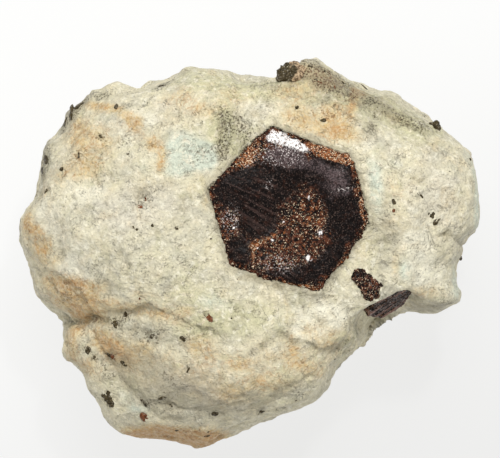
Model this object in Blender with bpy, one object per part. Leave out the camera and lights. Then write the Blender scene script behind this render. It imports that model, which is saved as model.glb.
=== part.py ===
"""Ferronigerite specimen: a hexagonal crystal plate, two smaller crystals and a few accessory grains, set in
one pale lump of quartz and feldspar that lies on its flat cleft back.

+X runs along the stone's length and +Z out of the face that shows the crystal. The origin is on the resting
surface, under the middle of the stone. Sizes and places below are in millimetres, and MM makes them metres.
"""

import math

import bmesh
import bpy
import numpy as np
from mathutils import Matrix, Vector, noise
from mathutils.bvhtree import BVHTree

MM = 0.001

# The outline drives the stone's length and width, and the front faces drive its depth.
# The stone's outline as seen from above the crystal face, anticlockwise, about the middle of its box
RIGHT_LOBE_OUTLINE = [
    (12.6, -6.3), (13.7, -6.0), (16.4, -5.9), (18.4, -5.7), (20.7, -5.1), (21.1, -4.8), (21.2, -4.1),
    (20.7, -3.0), (20.6, -1.5), (21.4, -0.3), (21.8, 1.2), (22.6, 2.0), (23.0, 3.0), (23.0, 4.7),
    (22.8, 6.7), (22.6, 8.4), (22.1, 9.9), (21.2, 11.0), (20.1, 12.0), (18.7, 12.9), (17.6, 14.2),
    (16.2, 14.7), (14.1, 16.2),
]
TOP_OUTLINE = [
    (12.7, 16.4), (11.4, 16.8), (9.7, 17.5), (7.6, 18.8), (6.7, 19.4), (5.2, 19.4), (4.4, 18.8),
    (3.4, 18.3), (2.4, 17.5), (0.6, 17.8), (-0.8, 17.7), (-1.6, 18.3), (-3.9, 18.5), (-5.6, 18.5),
    (-6.6, 18.3), (-7.6, 17.4), (-8.8, 16.9), (-10.6, 16.8), (-12.1, 17.0), (-13.6, 17.0),
]
LEFT_OUTLINE = [
    (-15.8, 16.0), (-16.9, 15.0), (-18.4, 13.9), (-18.8, 12.5), (-20.5, 10.7), (-20.7, 8.7),
    (-20.8, 7.4), (-21.5, 5.4), (-22.3, 4.4), (-22.9, 3.4), (-23.0, 2.4), (-22.9, 1.2), (-22.2, -0.8),
    (-21.8, -3.0), (-21.4, -4.0), (-20.3, -5.1), (-18.9, -6.3), (-18.2, -6.8),
]
LOWER_LOBE_OUTLINE = [
    (-18.5, -7.3), (-18.6, -8.6), (-18.5, -10.3), (-17.9, -10.8), (-17.0, -11.4), (-16.4, -12.3),
    (-16.1, -13.5), (-15.5, -14.1), (-14.5, -15.5), (-14.3, -16.3), (-13.6, -17.1), (-12.8, -18.0),
    (-10.9, -18.7), (-8.9, -18.8), (-6.9, -19.2), (-5.3, -19.5), (-3.9, -19.4), (-3.1, -18.7),
    (-1.6, -18.1), (1.4, -16.7), (3.4, -16.0), (4.9, -15.7), (6.4, -15.0), (7.9, -13.5), (8.2, -12.5),
    (8.6, -11.5), (9.7, -10.8), (10.9, -9.8), (11.2, -9.1), (11.4, -7.6), (11.7, -6.6),
]
OUTLINE = RIGHT_LOBE_OUTLINE + TOP_OUTLINE + LEFT_OUTLINE + LOWER_LOBE_OUTLINE

# Where the stone is widest, above its resting surface: (direction in degrees, height)
RIM_HEIGHT = [
    (0, 11.5), (40, 11.0), (75, 15.0), (100, 14.0), (150, 12.5), (200, 11.0), (235, 9.0), (285, 8.5),
    (315, 10.0), (335, 12.5),
]

# Broad fracture faces: a point (x, y, z) on each and its slopes dz/dx and dz/dy
FRONT_FACES = {
    "crystal_face": (3.8, 4.3, 24.1, 0.010, -0.015),
    "left_body": (-11.0, 5.0, 23.4, 0.075, -0.020),
    "left_shoulder": (-18.5, 4.0, 22.0, 0.300, -0.060),
    "upper_left_corner": (-15.0, 12.5, 21.6, 0.260, -0.300),
    "top_edge": (2.0, 16.0, 22.4, 0.000, -0.480),
    "upper_right_slope": (14.5, 12.0, 21.8, -0.260, -0.340),
    "right_end": (20.5, 5.5, 21.0, -0.380, 0.000),
    "right_lobe_foot": (17.0, -1.5, 22.6, -0.090, 0.020),
    "lower_lobe": (-5.0, -10.5, 22.9, 0.140, 0.500),
    "lower_left_cheek": (-14.8, -11.0, 18.4, 0.420, 0.360),
    "left_foot": (-18.5, -3.2, 20.6, 0.380, 0.340),
    "lower_right_cheek": (8.0, -10.5, 22.6, -0.120, 0.240),
}
BACK_FACES = {
    "cleft_bed": (0.0, 0.0, -1.0, 0.000, 0.000),
    "left_back": (-14.0, 0.0, 2.2, -0.450, 0.050),
    "right_back": (16.0, 3.0, 2.4, 0.520, -0.060),
    "top_back": (0.0, 13.0, 2.6, 0.060, 0.620),
    "lower_back": (-3.0, -12.5, 2.0, -0.040, -0.660),
    "upper_left_back": (-12.0, 11.0, 3.0, -0.380, 0.520),
}
# Breaks across the sides: facing, degrees below level, and how far under the widest line each one starts
SIDE_BREAKS = {
    "right_break": (5, 38, 1.6),
    "upper_right_break": (44, 50, 1.2),
    "top_break": (84, 24, 2.0),
    "upper_left_break": (126, 42, 1.4),
    "left_break": (172, 55, 1.0),
    "lower_left_break": (203, 26, 2.4),
    "cheek_break": (236, 50, 1.2),
    "foot_break": (264, 34, 1.4),
    "lower_right_break": (306, 42, 1.2),
    "notch_break": (336, 58, 1.0),
}
SIDE_BREAK_MIDDLE = 12.0
FRONT_EDGE_SOFTNESS = 0.45
BACK_EDGE_SOFTNESS = 0.55
FRONT_ROUNDING = 5.2
BACK_ROUNDING = 3.6
# How the outline evens out away from the widest line: degrees to each side, and where it starts and ends
FRONT_EVENING = (12, 0.50, 1.10)
BACK_EVENING = (24, 0.00, 0.45)

# The notch between the right lobe and the lower one: its outline on the front, and how steeply its side falls
NOTCH = [
    (11.6, -6.9), (12.3, -5.75), (15.3, -3.85), (16.5, -4.6), (18.1, -4.75), (19.75, -5.05), (21.4, -5.0),
    (23.0, -7.0), (17.0, -9.0), (12.2, -8.0),
]
NOTCH_SLOPE = 4.5

# Lumps (+) and dents (-) of the front: x, y, half-length, half-width, turn in degrees, height
FRONT_LUMPS = {
    "bulge_under_crystal": (7.2, -7.4, 4.6, 2.3, 15, 0.45),
    "pale_hump_left": (-12.0, 2.0, 6.5, 4.0, 25, 0.55),
    "right_hump": (20.5, 6.5, 2.6, 6.0, 8, 0.70),
    "middle_right_swell": (15.5, 5.0, 3.4, 4.2, -20, 0.60),
    "top_crown": (7.6, 16.8, 3.0, 1.2, -24, 1.20),
    "top_left_crown": (-5.0, 16.4, 3.6, 1.4, 0, 0.70),
    "lower_left_ridge": (-16.6, -11.6, 3.6, 1.3, -62, 0.90),
    "lower_lobe_swell": (-3.5, -13.0, 5.5, 2.4, -8, 0.65),
    "olive_hollow": (-1.7, 11.8, 1.9, 2.4, 15, -0.85),
    "blue_crease": (-4.6, 10.2, 1.6, 0.7, -50, -0.55),
    "right_valley": (18.0, 5.5, 1.0, 5.5, -12, -0.60),
    "upper_right_ledge": (13.5, 13.4, 4.2, 0.8, -28, -0.75),
    "upper_right_second_ledge": (15.6, 12.0, 3.6, 0.6, -24, -0.45),
    "hollow_right_of_crystal": (13.4, 0.8, 1.6, 3.0, 20, -0.45),
    "tan_hollow_above_crystal": (8.2, 13.2, 3.2, 1.2, -25, -0.45),
    "left_stain_valley": (-13.8, 9.6, 5.0, 1.1, 38, -0.60),
    "hollow_beside_lobe": (-9.6, -8.0, 3.8, 1.3, -18, -0.65),
    "olive_cheek": (9.6, -9.6, 1.9, 1.1, 30, -0.50),
}

# Creases of the front: points along each, then its half-width and depth
FRONT_CREASES = {
    "joint_of_the_lobes": ([(-19.5, -6.9), (-17.0, -6.9), (-15.3, -6.6), (-12.4, -5.9), (-9.8, -5.5)], 0.55, 1.00),
    "ledge_along_the_joint": ([(-9.8, -5.6), (-7.4, -6.0), (-6.0, -7.0), (-3.4, -8.0)], 0.70, 0.50),
    "speck_line_of_lower_lobe": ([(-16.6, -8.2), (-15.0, -10.0), (-13.4, -11.4), (-12.0, -14.2)], 0.60, 0.55),
    "right_lobe_seam": ([(19.2, -0.6), (20.4, 0.9), (21.8, 1.6), (23.2, 2.2)], 0.50, 0.60),
    "crack_under_crystal": ([(5.4, -4.6), (6.3, -6.2), (7.6, -7.4)], 0.35, 0.35),
}

# Roughness of a broken feldspar surface: wavelength and height of each scale
BROAD_RELIEF = (9.0, 0.75)
CHIP_RELIEF = (3.4, 0.34)
GRAIN_RELIEF = (1.5, 0.13)
BACK_RELIEF_GAIN = 1.6
RELIEF_AT_RIM = 0.30
RELIEF_RISE = 4.0

STONE_DETAIL = 7
STONE_TRIANGLES = 6200

# Crystals: corners (x, y) of the exposed face, anticlockwise
HEXAGON = [
    (-4.12, 6.23), (-2.07, -1.22), (1.63, -2.72), (6.73, -3.82), (9.53, -0.67), (11.83, 2.93), (10.73, 7.63),
    (10.03, 9.63), (6.13, 10.93), (2.13, 12.53), (-0.87, 9.93),
]
HEXAGON_THICKNESS = 4.6
HEXAGON_STANDS_OUT = 0.50
HEXAGON_BEVEL = 0.65

# Growth layers of the hexagon's face: x, y, half-length, half-width, turn in degrees, height
HEXAGON_LAYERS = {
    "left_plate": (-0.2, 6.0, 3.4, 2.2, 20, 0.35),
    "upper_plate": (3.9, 9.6, 3.2, 1.6, -18, 0.40),
    "right_plate": (8.9, 5.0, 2.2, 4.2, 12, 0.35),
    "lower_plate": (4.6, -1.6, 3.6, 1.2, -14, 0.30),
    "middle_hollow": (4.6, 3.6, 2.6, 3.0, -10, -0.65),
    "lower_left_hollow": (-0.6, 2.3, 1.3, 1.6, 0, -0.35),
}

SMALL_CRYSTAL = [
    (9.93, -2.57), (10.53, -3.22), (10.93, -3.87), (11.33, -4.62), (11.93, -4.92), (12.78, -4.52),
    (13.28, -3.27), (11.93, -2.07), (11.13, -1.52), (10.28, -1.77),
]
SMALL_CRYSTAL_THICKNESS = 1.6
SMALL_CRYSTAL_STANDS_OUT = 0.30
SMALL_CRYSTAL_BEVEL = 0.35

TOP_CRYSTAL = [
    (2.73, 17.03), (4.23, 16.93), (5.23, 17.33), (5.53, 18.23), (4.73, 18.83), (3.83, 18.73), (2.93, 18.13),
]
TOP_CRYSTAL_SLOPE = (0.050, -0.900)
TOP_CRYSTAL_THICKNESS = 2.6
TOP_CRYSTAL_STANDS_OUT = 0.35
TOP_CRYSTAL_BEVEL = 0.30

# The third plate looks out of the underside of the right lobe: the middle of its bare face, and the way it looks
EDGE_CRYSTAL_MIDDLE = (14.0, -5.1, 18.6)
EDGE_CRYSTAL_RADIUS = 2.7
EDGE_CRYSTAL_THICKNESS = 1.8
EDGE_CRYSTAL_FACING = (0.50, -0.78, 0.38)
EDGE_CRYSTAL_TURN = 20
EDGE_CRYSTAL_BEVEL = 0.20

# Accessory grains on the front: x, y, half-length, half-width, turn in degrees
GRAINS = {
    "dark_grain_upper_right": (18.48, 12.48, 0.70, 0.55, -40),
    "dark_grain_right": (18.28, 3.48, 0.85, 0.50, -65),
    "dark_grain_lower_left": (-14.02, -14.32, 1.15, 0.62, -70),
    "red_grain": (-10.42, -16.27, 0.60, 0.52, 20),
}
GRAIN_HALF_DEPTH = 0.70
GRAIN_STANDS_OUT = 0.20
GRAIN_DETAIL = 2
GRAIN_UNEVENNESS = 0.16

# Each crystal keeps this gap to the pocket that holds it
CLEARANCE = 0.3
POCKET_MOUTH = 3.0
RING_SPACING = 0.9
ABOVE_THE_STONE = 60.0

# Colours, roughness
PALE_STONE = ((0.66, 0.62, 0.48), 0.85)
RED_BROWN = ((0.055, 0.022, 0.014), 0.30)
BLACK_MINERAL = ((0.020, 0.020, 0.021), 0.35)
GARNET_RED = ((0.16, 0.035, 0.018), 0.35)


def outline_radius(direction):
    """Distance from the outline's middle to the outline, in the direction given in radians."""
    points = np.array(OUTLINE)
    angles = np.arctan2(points[:, 1], points[:, 0])
    return float(np.interp(direction, angles, np.hypot(points[:, 0], points[:, 1]), period=2 * math.pi))


def smooth_radius(direction, spread):
    """The outline's radius, averaged over so many degrees to both sides of the direction."""
    offsets = np.radians(np.linspace(-spread, spread, 7))
    return float(np.mean([outline_radius(direction + offset) for offset in offsets]))


def rim_height(direction):
    """Height of the widest line of the stone, in the direction given in radians."""
    angles, heights = zip(*RIM_HEIGHT)
    return float(np.interp(math.degrees(direction), angles, heights, period=360))


def lowest_face(faces, x, y, softness):
    """Height at (x, y) under the lowest of the faces, with their edges rounded off."""
    heights = [z + slope_x * (x - px) + slope_y * (y - py) for px, py, z, slope_x, slope_y in faces.values()]
    lowest = min(heights)
    return lowest - softness * math.log(sum(math.exp((lowest - h) / softness) for h in heights))


def highest_face(faces, x, y, softness):
    """Height at (x, y) over the highest of the faces, with their edges rounded off."""
    turned = {name: (px, py, -z, -sx, -sy) for name, (px, py, z, sx, sy) in faces.items()}
    return -lowest_face(turned, x, y, softness)


def lump_height(lumps, x, y):
    """Sum of the lumps and dents at (x, y)."""
    total = 0.0
    for px, py, half_length, half_width, turn, height in lumps.values():
        along, across = turned_to(x - px, y - py, turn)
        total += height * math.exp(-((along / half_length) ** 2) - (across / half_width) ** 2)
    return total


def turned_to(x, y, degrees):
    """(x, y) along and across a direction at that angle from +X."""
    cosine, sine = math.cos(math.radians(degrees)), math.sin(math.radians(degrees))
    return x * cosine + y * sine, y * cosine - x * sine


def distance_to_line(x, y, line):
    """Distance from (x, y) to a line of points."""
    point = Vector((x, y))
    nearest = math.inf
    for start, end in zip(map(Vector, line), map(Vector, line[1:])):
        run = end - start
        share = min(1.0, max(0.0, (point - start).dot(run) / run.length_squared))
        nearest = min(nearest, (point - start - share * run).length)
    return nearest


def depth_inside(corners, x, y):
    """How far (x, y) lies inside a closed outline, 0 outside."""
    closed = corners + corners[:1]
    inside = False
    for (ax, ay), (bx, by) in zip(closed, closed[1:]):
        if (ay > y) != (by > y) and x < (bx - ax) * (y - ay) / (by - ay) + ax:
            inside = not inside
    return distance_to_line(x, y, closed) if inside else 0.0


def crease_depth(creases, x, y):
    """Depth of the creases at (x, y)."""
    return sum(
        depth * math.exp(-((distance_to_line(x, y, line) / half_width) ** 2))
        for line, half_width, depth in creases.values()
    )


def chipped(point, size):
    """Height of small tilted chips, as on broken feldspar, from -1 to 1."""
    distances, middles = noise.voronoi(point / size)
    tilt = noise.cell_vector(middles[0] * 7.3) * 2 - Vector((1, 1, 1))
    edge = min(1.0, (distances[1] - distances[0]) * 3)
    return edge * (point / size - middles[0]).dot(tilt)


def relief(point):
    """Height of the broken surface over its broad faces."""
    broad_size, broad_height = BROAD_RELIEF
    chip_size, chip_height = CHIP_RELIEF
    grain_size, grain_height = GRAIN_RELIEF
    return (
        broad_height * noise.fractal(point / broad_size, 1.0, 2.1, 3)
        + chip_height * chipped(point, chip_size)
        + grain_height * noise.noise(point / grain_size)
    )


def side_planes():
    """Each side break as its outward direction and its distance from the origin.

    A break just touches the widest line once that line is lowered by the break's own measure.
    """
    planes = []
    for facing, below, under in SIDE_BREAKS.values():
        around, tilt = math.radians(facing), math.radians(below)
        level = math.cos(tilt)
        outward = Vector((level * math.cos(around), level * math.sin(around), -math.sin(tilt)))
        lowered = [Vector((x, y, rim_height(math.atan2(y, x)) - under)) for x, y in OUTLINE]
        planes.append((outward, max(point.dot(outward) for point in lowered)))
    return planes


def broken_off(point, planes):
    """The point, drawn towards the stone's middle where it lies beyond a side break."""
    middle = Vector((0, 0, SIDE_BREAK_MIDDLE))
    arm = point - middle
    share = 1.0
    for outward, distance in planes:
        reach = arm.dot(outward)
        if reach > 0:
            share = min(share, (distance - middle.dot(outward)) / reach)
    return middle + arm * share


def stone_point(direction, planes):
    """Point of the smooth stone in a direction from its middle, a unit vector."""
    around = math.atan2(direction.y, direction.x)
    flat = math.hypot(direction.x, direction.y)
    rounding = FRONT_ROUNDING if direction.z >= 0 else BACK_ROUNDING
    reach = (flat**rounding + abs(direction.z) ** rounding) ** (-1 / rounding)
    spread, start, end = FRONT_EVENING if direction.z >= 0 else BACK_EVENING
    fade = min(1.0, max(0.0, (abs(direction.z) - start) / (end - start)))
    radius = flat * reach * (outline_radius(around) * (1 - fade) + smooth_radius(around, spread) * fade)
    x, y = radius * math.cos(around), radius * math.sin(around)
    rim = rim_height(around)
    if direction.z >= 0:
        face = lowest_face(FRONT_FACES, x, y, FRONT_EDGE_SOFTNESS)
        face += lump_height(FRONT_LUMPS, x, y) - crease_depth(FRONT_CREASES, x, y)
        height = rim + direction.z * reach * (face - rim)
        return Vector((x, y, max(rim, height - NOTCH_SLOPE * depth_inside(NOTCH, x, y))))
    face = highest_face(BACK_FACES, x, y, BACK_EDGE_SOFTNESS)
    return broken_off(Vector((x, y, rim + abs(direction.z) * reach * (face - rim))), planes)


def relief_share(point):
    """Part of the roughness that shows at a point: little on the widest line, all of it away from there."""
    away = point.z - rim_height(math.atan2(point.y, point.x))
    share = RELIEF_AT_RIM + (1 - RELIEF_AT_RIM) * min(1.0, abs(away) / RELIEF_RISE)
    return share * (BACK_RELIEF_GAIN if away < -RELIEF_RISE else 1.0)


def new_object(name, bm, look):
    """A node from a bmesh in millimetres, with its material."""
    bmesh.ops.scale(bm, vec=(MM, MM, MM), verts=bm.verts)
    bmesh.ops.recalc_face_normals(bm, faces=bm.faces)
    mesh = bpy.data.meshes.new(name)
    bm.to_mesh(mesh)
    bm.free()
    colour, roughness = look
    material = bpy.data.materials.get(name) or bpy.data.materials.new(name)
    material.use_nodes = True
    shader = material.node_tree.nodes["Principled BSDF"]
    shader.inputs["Base Color"].default_value = (*colour, 1)
    shader.inputs["Roughness"].default_value = roughness
    shader.inputs["Metallic"].default_value = 0.0
    mesh.materials.append(material)
    obj = bpy.data.objects.new(name, mesh)
    bpy.context.scene.collection.objects.link(obj)
    return obj


def make_stone():
    """The matrix: broad fracture faces and lobes, roughened, cut flat where it rests."""
    bm = bmesh.new()
    bmesh.ops.create_icosphere(bm, subdivisions=STONE_DETAIL, radius=1)
    planes = side_planes()
    for vertex in bm.verts:
        vertex.co = stone_point(vertex.co.normalized(), planes)
    bm.normal_update()
    for vertex in bm.verts:
        vertex.co += vertex.normal * relief(vertex.co) * relief_share(vertex.co)
        vertex.co.z = max(vertex.co.z, 0.0)
    stone = new_object("matrix", bm, PALE_STONE)
    thin = stone.modifiers.new("fewer_faces", "DECIMATE")
    thin.ratio = STONE_TRIANGLES / len(stone.data.polygons)
    return stone


def height_finder(stone):
    """A function that gives the height of the stone's front at (x, y)."""
    tree = BVHTree.FromPolygons(
        [vertex.co / MM for vertex in stone.data.vertices], [list(p.vertices) for p in stone.data.polygons]
    )

    def height(x, y):
        hit = tree.ray_cast(Vector((x, y, ABOVE_THE_STONE)), Vector((0, 0, -1)))[0]
        return hit.z if hit else 0.0

    return height


def plane_through(corners, height):
    """A function that gives the height at (x, y) of the plane that fits the stone best at the corners."""
    rows = np.array([(x, y, 1.0) for x, y in corners])
    heights = np.array([height(x, y) for x, y in corners])
    slope_x, slope_y, offset = np.linalg.lstsq(rows, heights, rcond=None)[0]
    return lambda x, y: float(slope_x * x + slope_y * y + offset)


def sloping_plane(place, slopes, height):
    """A function that gives the height at (x, y) of a plane with these slopes that meets the stone at a place."""
    start = height(*place)
    return lambda x, y: start + slopes[0] * (x - place[0]) + slopes[1] * (y - place[1])


def grown(corners, distance):
    """The corners moved so that each side lies that much further out."""
    moved = []
    for index, corner in enumerate(corners):
        here = Vector(corner)
        back = (here - Vector(corners[index - 1])).normalized()
        ahead = (Vector(corners[(index + 1) % len(corners)]) - here).normalized()
        first, second = Vector((back.y, -back.x)), Vector((ahead.y, -ahead.x))
        moved.append(tuple(here + (first + second) * distance / (1 + first.dot(second))))
    return moved


def along_sides(corners, spacing):
    """The corners, with points between them about as far apart as the spacing."""
    points = []
    for index, corner in enumerate(corners):
        start, end = Vector(corner), Vector(corners[(index + 1) % len(corners)])
        count = max(1, round((end - start).length / spacing))
        points += [tuple(start.lerp(end, step / count)) for step in range(count)]
    return points


def shell_of(rings):
    """A closed bmesh over rings of points with equal counts, the first ring and the last one filled."""
    bm = bmesh.new()
    loops = [[bm.verts.new(point) for point in ring] for ring in rings]
    for lower, upper in zip(loops, loops[1:]):
        for index in range(len(lower)):
            after = (index + 1) % len(lower)
            bm.faces.new((lower[index], lower[after], upper[after], upper[index]))
    bm.faces.new(reversed(loops[0]))
    bm.faces.new(loops[-1])
    return bm


def make_plate(name, corners, level, rise, thickness, bevel, look, layers=None):
    """A crystal plate: its sides go down into the stone, and its face has a bevelled rim and growth layers."""
    rim = along_sides(corners, RING_SPACING)
    middle = Vector(middle_of(rim))
    face = [middle.lerp(Vector(point), 1 - bevel / radius_of(rim)) for point in rim]
    rings = [
        [(x, y, level(x, y) - thickness) for x, y in rim],
        [(x, y, level(x, y)) for x, y in rim],
    ]
    steps = max(1, round(radius_of(rim) / (2 * RING_SPACING)))
    for step in range(steps):
        ring = [middle.lerp(point, 1 - step / steps) for point in face]
        rings.append([(p.x, p.y, level(p.x, p.y) + rise + lump_height(layers or {}, p.x, p.y)) for p in ring])
    bm = shell_of(rings)
    bmesh.ops.poke(bm, faces=[bm.faces[:][-1]])
    return new_object(name, bm, look)


def middle_of(points):
    """Middle of a ring of points."""
    return tuple(np.mean(np.array(points), axis=0))


def radius_of(points):
    """Mean distance of a ring of points from its middle."""
    return float(np.mean(np.linalg.norm(np.array(points) - middle_of(points), axis=1)))


def make_pocket(name, corners, level, thickness):
    """The cutter of a plate's pocket."""
    around = grown(corners, CLEARANCE)
    bottom = [(x, y, level(x, y) - thickness - CLEARANCE) for x, y in around]
    top = [(x, y, level(x, y) + POCKET_MOUTH) for x, y in around]
    return as_cutter(new_object(name, shell_of([bottom, top]), PALE_STONE))


def as_cutter(obj):
    """Marks an object as one that only cuts."""
    obj.hide_render = True
    obj.display_type = "WIRE"
    return obj


def make_edge_crystal(name, grow, mouth, bevel, look):
    """The hexagonal plate that looks out of the lobe's underside, or the cutter of its pocket."""
    facing = Vector(EDGE_CRYSTAL_FACING).normalized()
    depth = EDGE_CRYSTAL_THICKNESS + grow + mouth
    middle = Vector(EDGE_CRYSTAL_MIDDLE) + facing * (mouth - (EDGE_CRYSTAL_THICKNESS + grow)) / 2
    turn = facing.to_track_quat("Z", "Y").to_matrix().to_4x4()
    place = Matrix.Translation(middle) @ turn @ Matrix.Rotation(math.radians(EDGE_CRYSTAL_TURN), 4, "Z")
    radius = EDGE_CRYSTAL_RADIUS + grow
    bm = bmesh.new()
    bmesh.ops.create_cone(
        bm, cap_ends=True, segments=6, radius1=radius, radius2=radius, depth=depth, matrix=place
    )
    if bevel:
        bmesh.ops.bevel(bm, geom=bm.edges[:], offset=bevel, segments=1, affect="EDGES")
    return new_object(name, bm, look)


def make_grain(name, place, height, grow, look):
    """A small uneven grain that stands a little out of the stone, or the cutter of its pocket."""
    x, y, half_length, half_width, turn = place
    halves = Vector((half_length, half_width, GRAIN_HALF_DEPTH)) + Vector((grow, grow, grow))
    middle = Vector((x, y, height(x, y) + GRAIN_STANDS_OUT - GRAIN_HALF_DEPTH))
    bm = bmesh.new()
    bmesh.ops.create_icosphere(bm, subdivisions=GRAIN_DETAIL, radius=1)
    for vertex in bm.verts:
        uneven = 1 + GRAIN_UNEVENNESS * noise.noise(vertex.co * 1.7 + middle)
        vertex.co = Vector((vertex.co[i] * halves[i] for i in range(3))) * uneven
    bmesh.ops.transform(
        bm, matrix=Matrix.Translation(middle) @ Matrix.Rotation(math.radians(turn), 4, "Z"), verts=bm.verts
    )
    return new_object(name, bm, look)


def cut_pockets(stone, cutters):
    """Cuts the crystals' pockets out of the stone."""
    for cutter in cutters:
        pocket = stone.modifiers.new(cutter.name, "BOOLEAN")
        pocket.operation = "DIFFERENCE"
        pocket.solver = "EXACT"
        pocket.object = cutter


def stand_on_origin(stone, objects):
    """Parents everything to one empty, which puts the origin under the middle of the stone's box."""
    points = np.array([vertex.co for vertex in stone.data.vertices])
    low, high = points.min(axis=0), points.max(axis=0)
    specimen = bpy.data.objects.new("specimen", None)
    bpy.context.scene.collection.objects.link(specimen)
    for obj in objects:
        obj.parent = specimen
    specimen.location = (-(low[0] + high[0]) / 2, -(low[1] + high[1]) / 2, -low[2])


def make_specimen():
    """Makes every piece and sets the crystals into the stone."""
    stone = make_stone()
    height = height_finder(stone)
    face_level = plane_through(HEXAGON, height)
    small_level = plane_through(SMALL_CRYSTAL, height)

    top_level = sloping_plane(middle_of(TOP_CRYSTAL), TOP_CRYSTAL_SLOPE, height)
    plates = [
        make_plate(
            "ferronigerite_crystal", HEXAGON, face_level, HEXAGON_STANDS_OUT, HEXAGON_THICKNESS,
            HEXAGON_BEVEL, RED_BROWN, HEXAGON_LAYERS,
        ),
        make_plate(
            "small_crystal", SMALL_CRYSTAL, small_level, SMALL_CRYSTAL_STANDS_OUT, SMALL_CRYSTAL_THICKNESS,
            SMALL_CRYSTAL_BEVEL, RED_BROWN,
        ),
        make_plate(
            "top_crystal", TOP_CRYSTAL, top_level, TOP_CRYSTAL_STANDS_OUT, TOP_CRYSTAL_THICKNESS,
            TOP_CRYSTAL_BEVEL, BLACK_MINERAL,
        ),
        make_edge_crystal("edge_crystal", 0, 0, EDGE_CRYSTAL_BEVEL, RED_BROWN),
    ]
    cutters = [
        make_pocket("hexagon_pocket", HEXAGON, face_level, HEXAGON_THICKNESS),
        make_pocket("small_pocket", SMALL_CRYSTAL, small_level, SMALL_CRYSTAL_THICKNESS),
        make_pocket("top_pocket", TOP_CRYSTAL, top_level, TOP_CRYSTAL_THICKNESS),
        as_cutter(make_edge_crystal("edge_pocket", CLEARANCE, POCKET_MOUTH, 0, PALE_STONE)),
    ]
    grains = []
    for name, place in GRAINS.items():
        look = GARNET_RED if name.startswith("red") else BLACK_MINERAL
        grains.append(make_grain(name, place, height, 0, look))
        cutters.append(as_cutter(make_grain(f"{name}_pocket", place, height, CLEARANCE, PALE_STONE)))
    cut_pockets(stone, cutters)
    stand_on_origin(stone, [stone, *plates, *cutters, *grains])


for old in list(bpy.data.objects):
    bpy.data.objects.remove(old, do_unlink=True)
make_specimen()
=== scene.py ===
"""The looks of a ferronigerite specimen: broken pale stone, dark crystal plates, small grains, a plain stage.

Lengths below are in millimetres unless a name or a unit says otherwise, and MM makes them metres. +X runs
along the stone's length, +Y across it, and +Z out of the face that shows the hexagonal crystal.
"""

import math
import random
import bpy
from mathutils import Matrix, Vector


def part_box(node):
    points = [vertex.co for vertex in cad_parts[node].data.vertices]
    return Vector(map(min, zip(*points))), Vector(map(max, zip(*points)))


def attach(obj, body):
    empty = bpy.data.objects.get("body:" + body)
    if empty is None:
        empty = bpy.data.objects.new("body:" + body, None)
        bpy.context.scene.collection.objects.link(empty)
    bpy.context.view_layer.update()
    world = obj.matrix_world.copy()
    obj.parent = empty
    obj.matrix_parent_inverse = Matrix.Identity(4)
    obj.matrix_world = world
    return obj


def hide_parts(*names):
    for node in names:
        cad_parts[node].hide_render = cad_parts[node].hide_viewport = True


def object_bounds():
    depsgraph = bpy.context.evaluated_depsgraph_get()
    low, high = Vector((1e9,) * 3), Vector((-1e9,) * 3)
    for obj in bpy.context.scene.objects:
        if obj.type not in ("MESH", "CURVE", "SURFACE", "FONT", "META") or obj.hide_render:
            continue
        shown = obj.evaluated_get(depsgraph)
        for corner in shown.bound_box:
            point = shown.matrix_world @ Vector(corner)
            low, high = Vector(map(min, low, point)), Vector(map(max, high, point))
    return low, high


bl_info = {
    "name": "Ferronigerite Specimen",
    "version": (1, 0, 0),
    "blender": (4, 5, 0),
    "location": "View3D > Sidebar > Specimen",
    "description": "Makes the stone, crystals and grains of a mineral specimen round their solids",
    "category": "Add Mesh",
}

from contextlib import contextmanager

import bpy
import numpy as np
from bpy.props import FloatProperty, FloatVectorProperty, IntProperty, PointerProperty
from bpy.types import Operator, Panel, PropertyGroup
from mathutils import Matrix, Vector, geometry, noise
from mathutils.bvhtree import BVHTree

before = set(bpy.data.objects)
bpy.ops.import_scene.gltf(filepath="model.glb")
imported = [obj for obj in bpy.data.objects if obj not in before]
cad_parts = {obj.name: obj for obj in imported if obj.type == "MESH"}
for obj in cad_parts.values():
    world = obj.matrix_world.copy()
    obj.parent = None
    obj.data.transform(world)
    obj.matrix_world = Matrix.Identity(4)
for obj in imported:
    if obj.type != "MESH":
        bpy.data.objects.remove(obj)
CAD_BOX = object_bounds()
MM = 0.001

# --- Places on the stone's front: x, y, half-length, half-width, turn in degrees, strength ---

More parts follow.
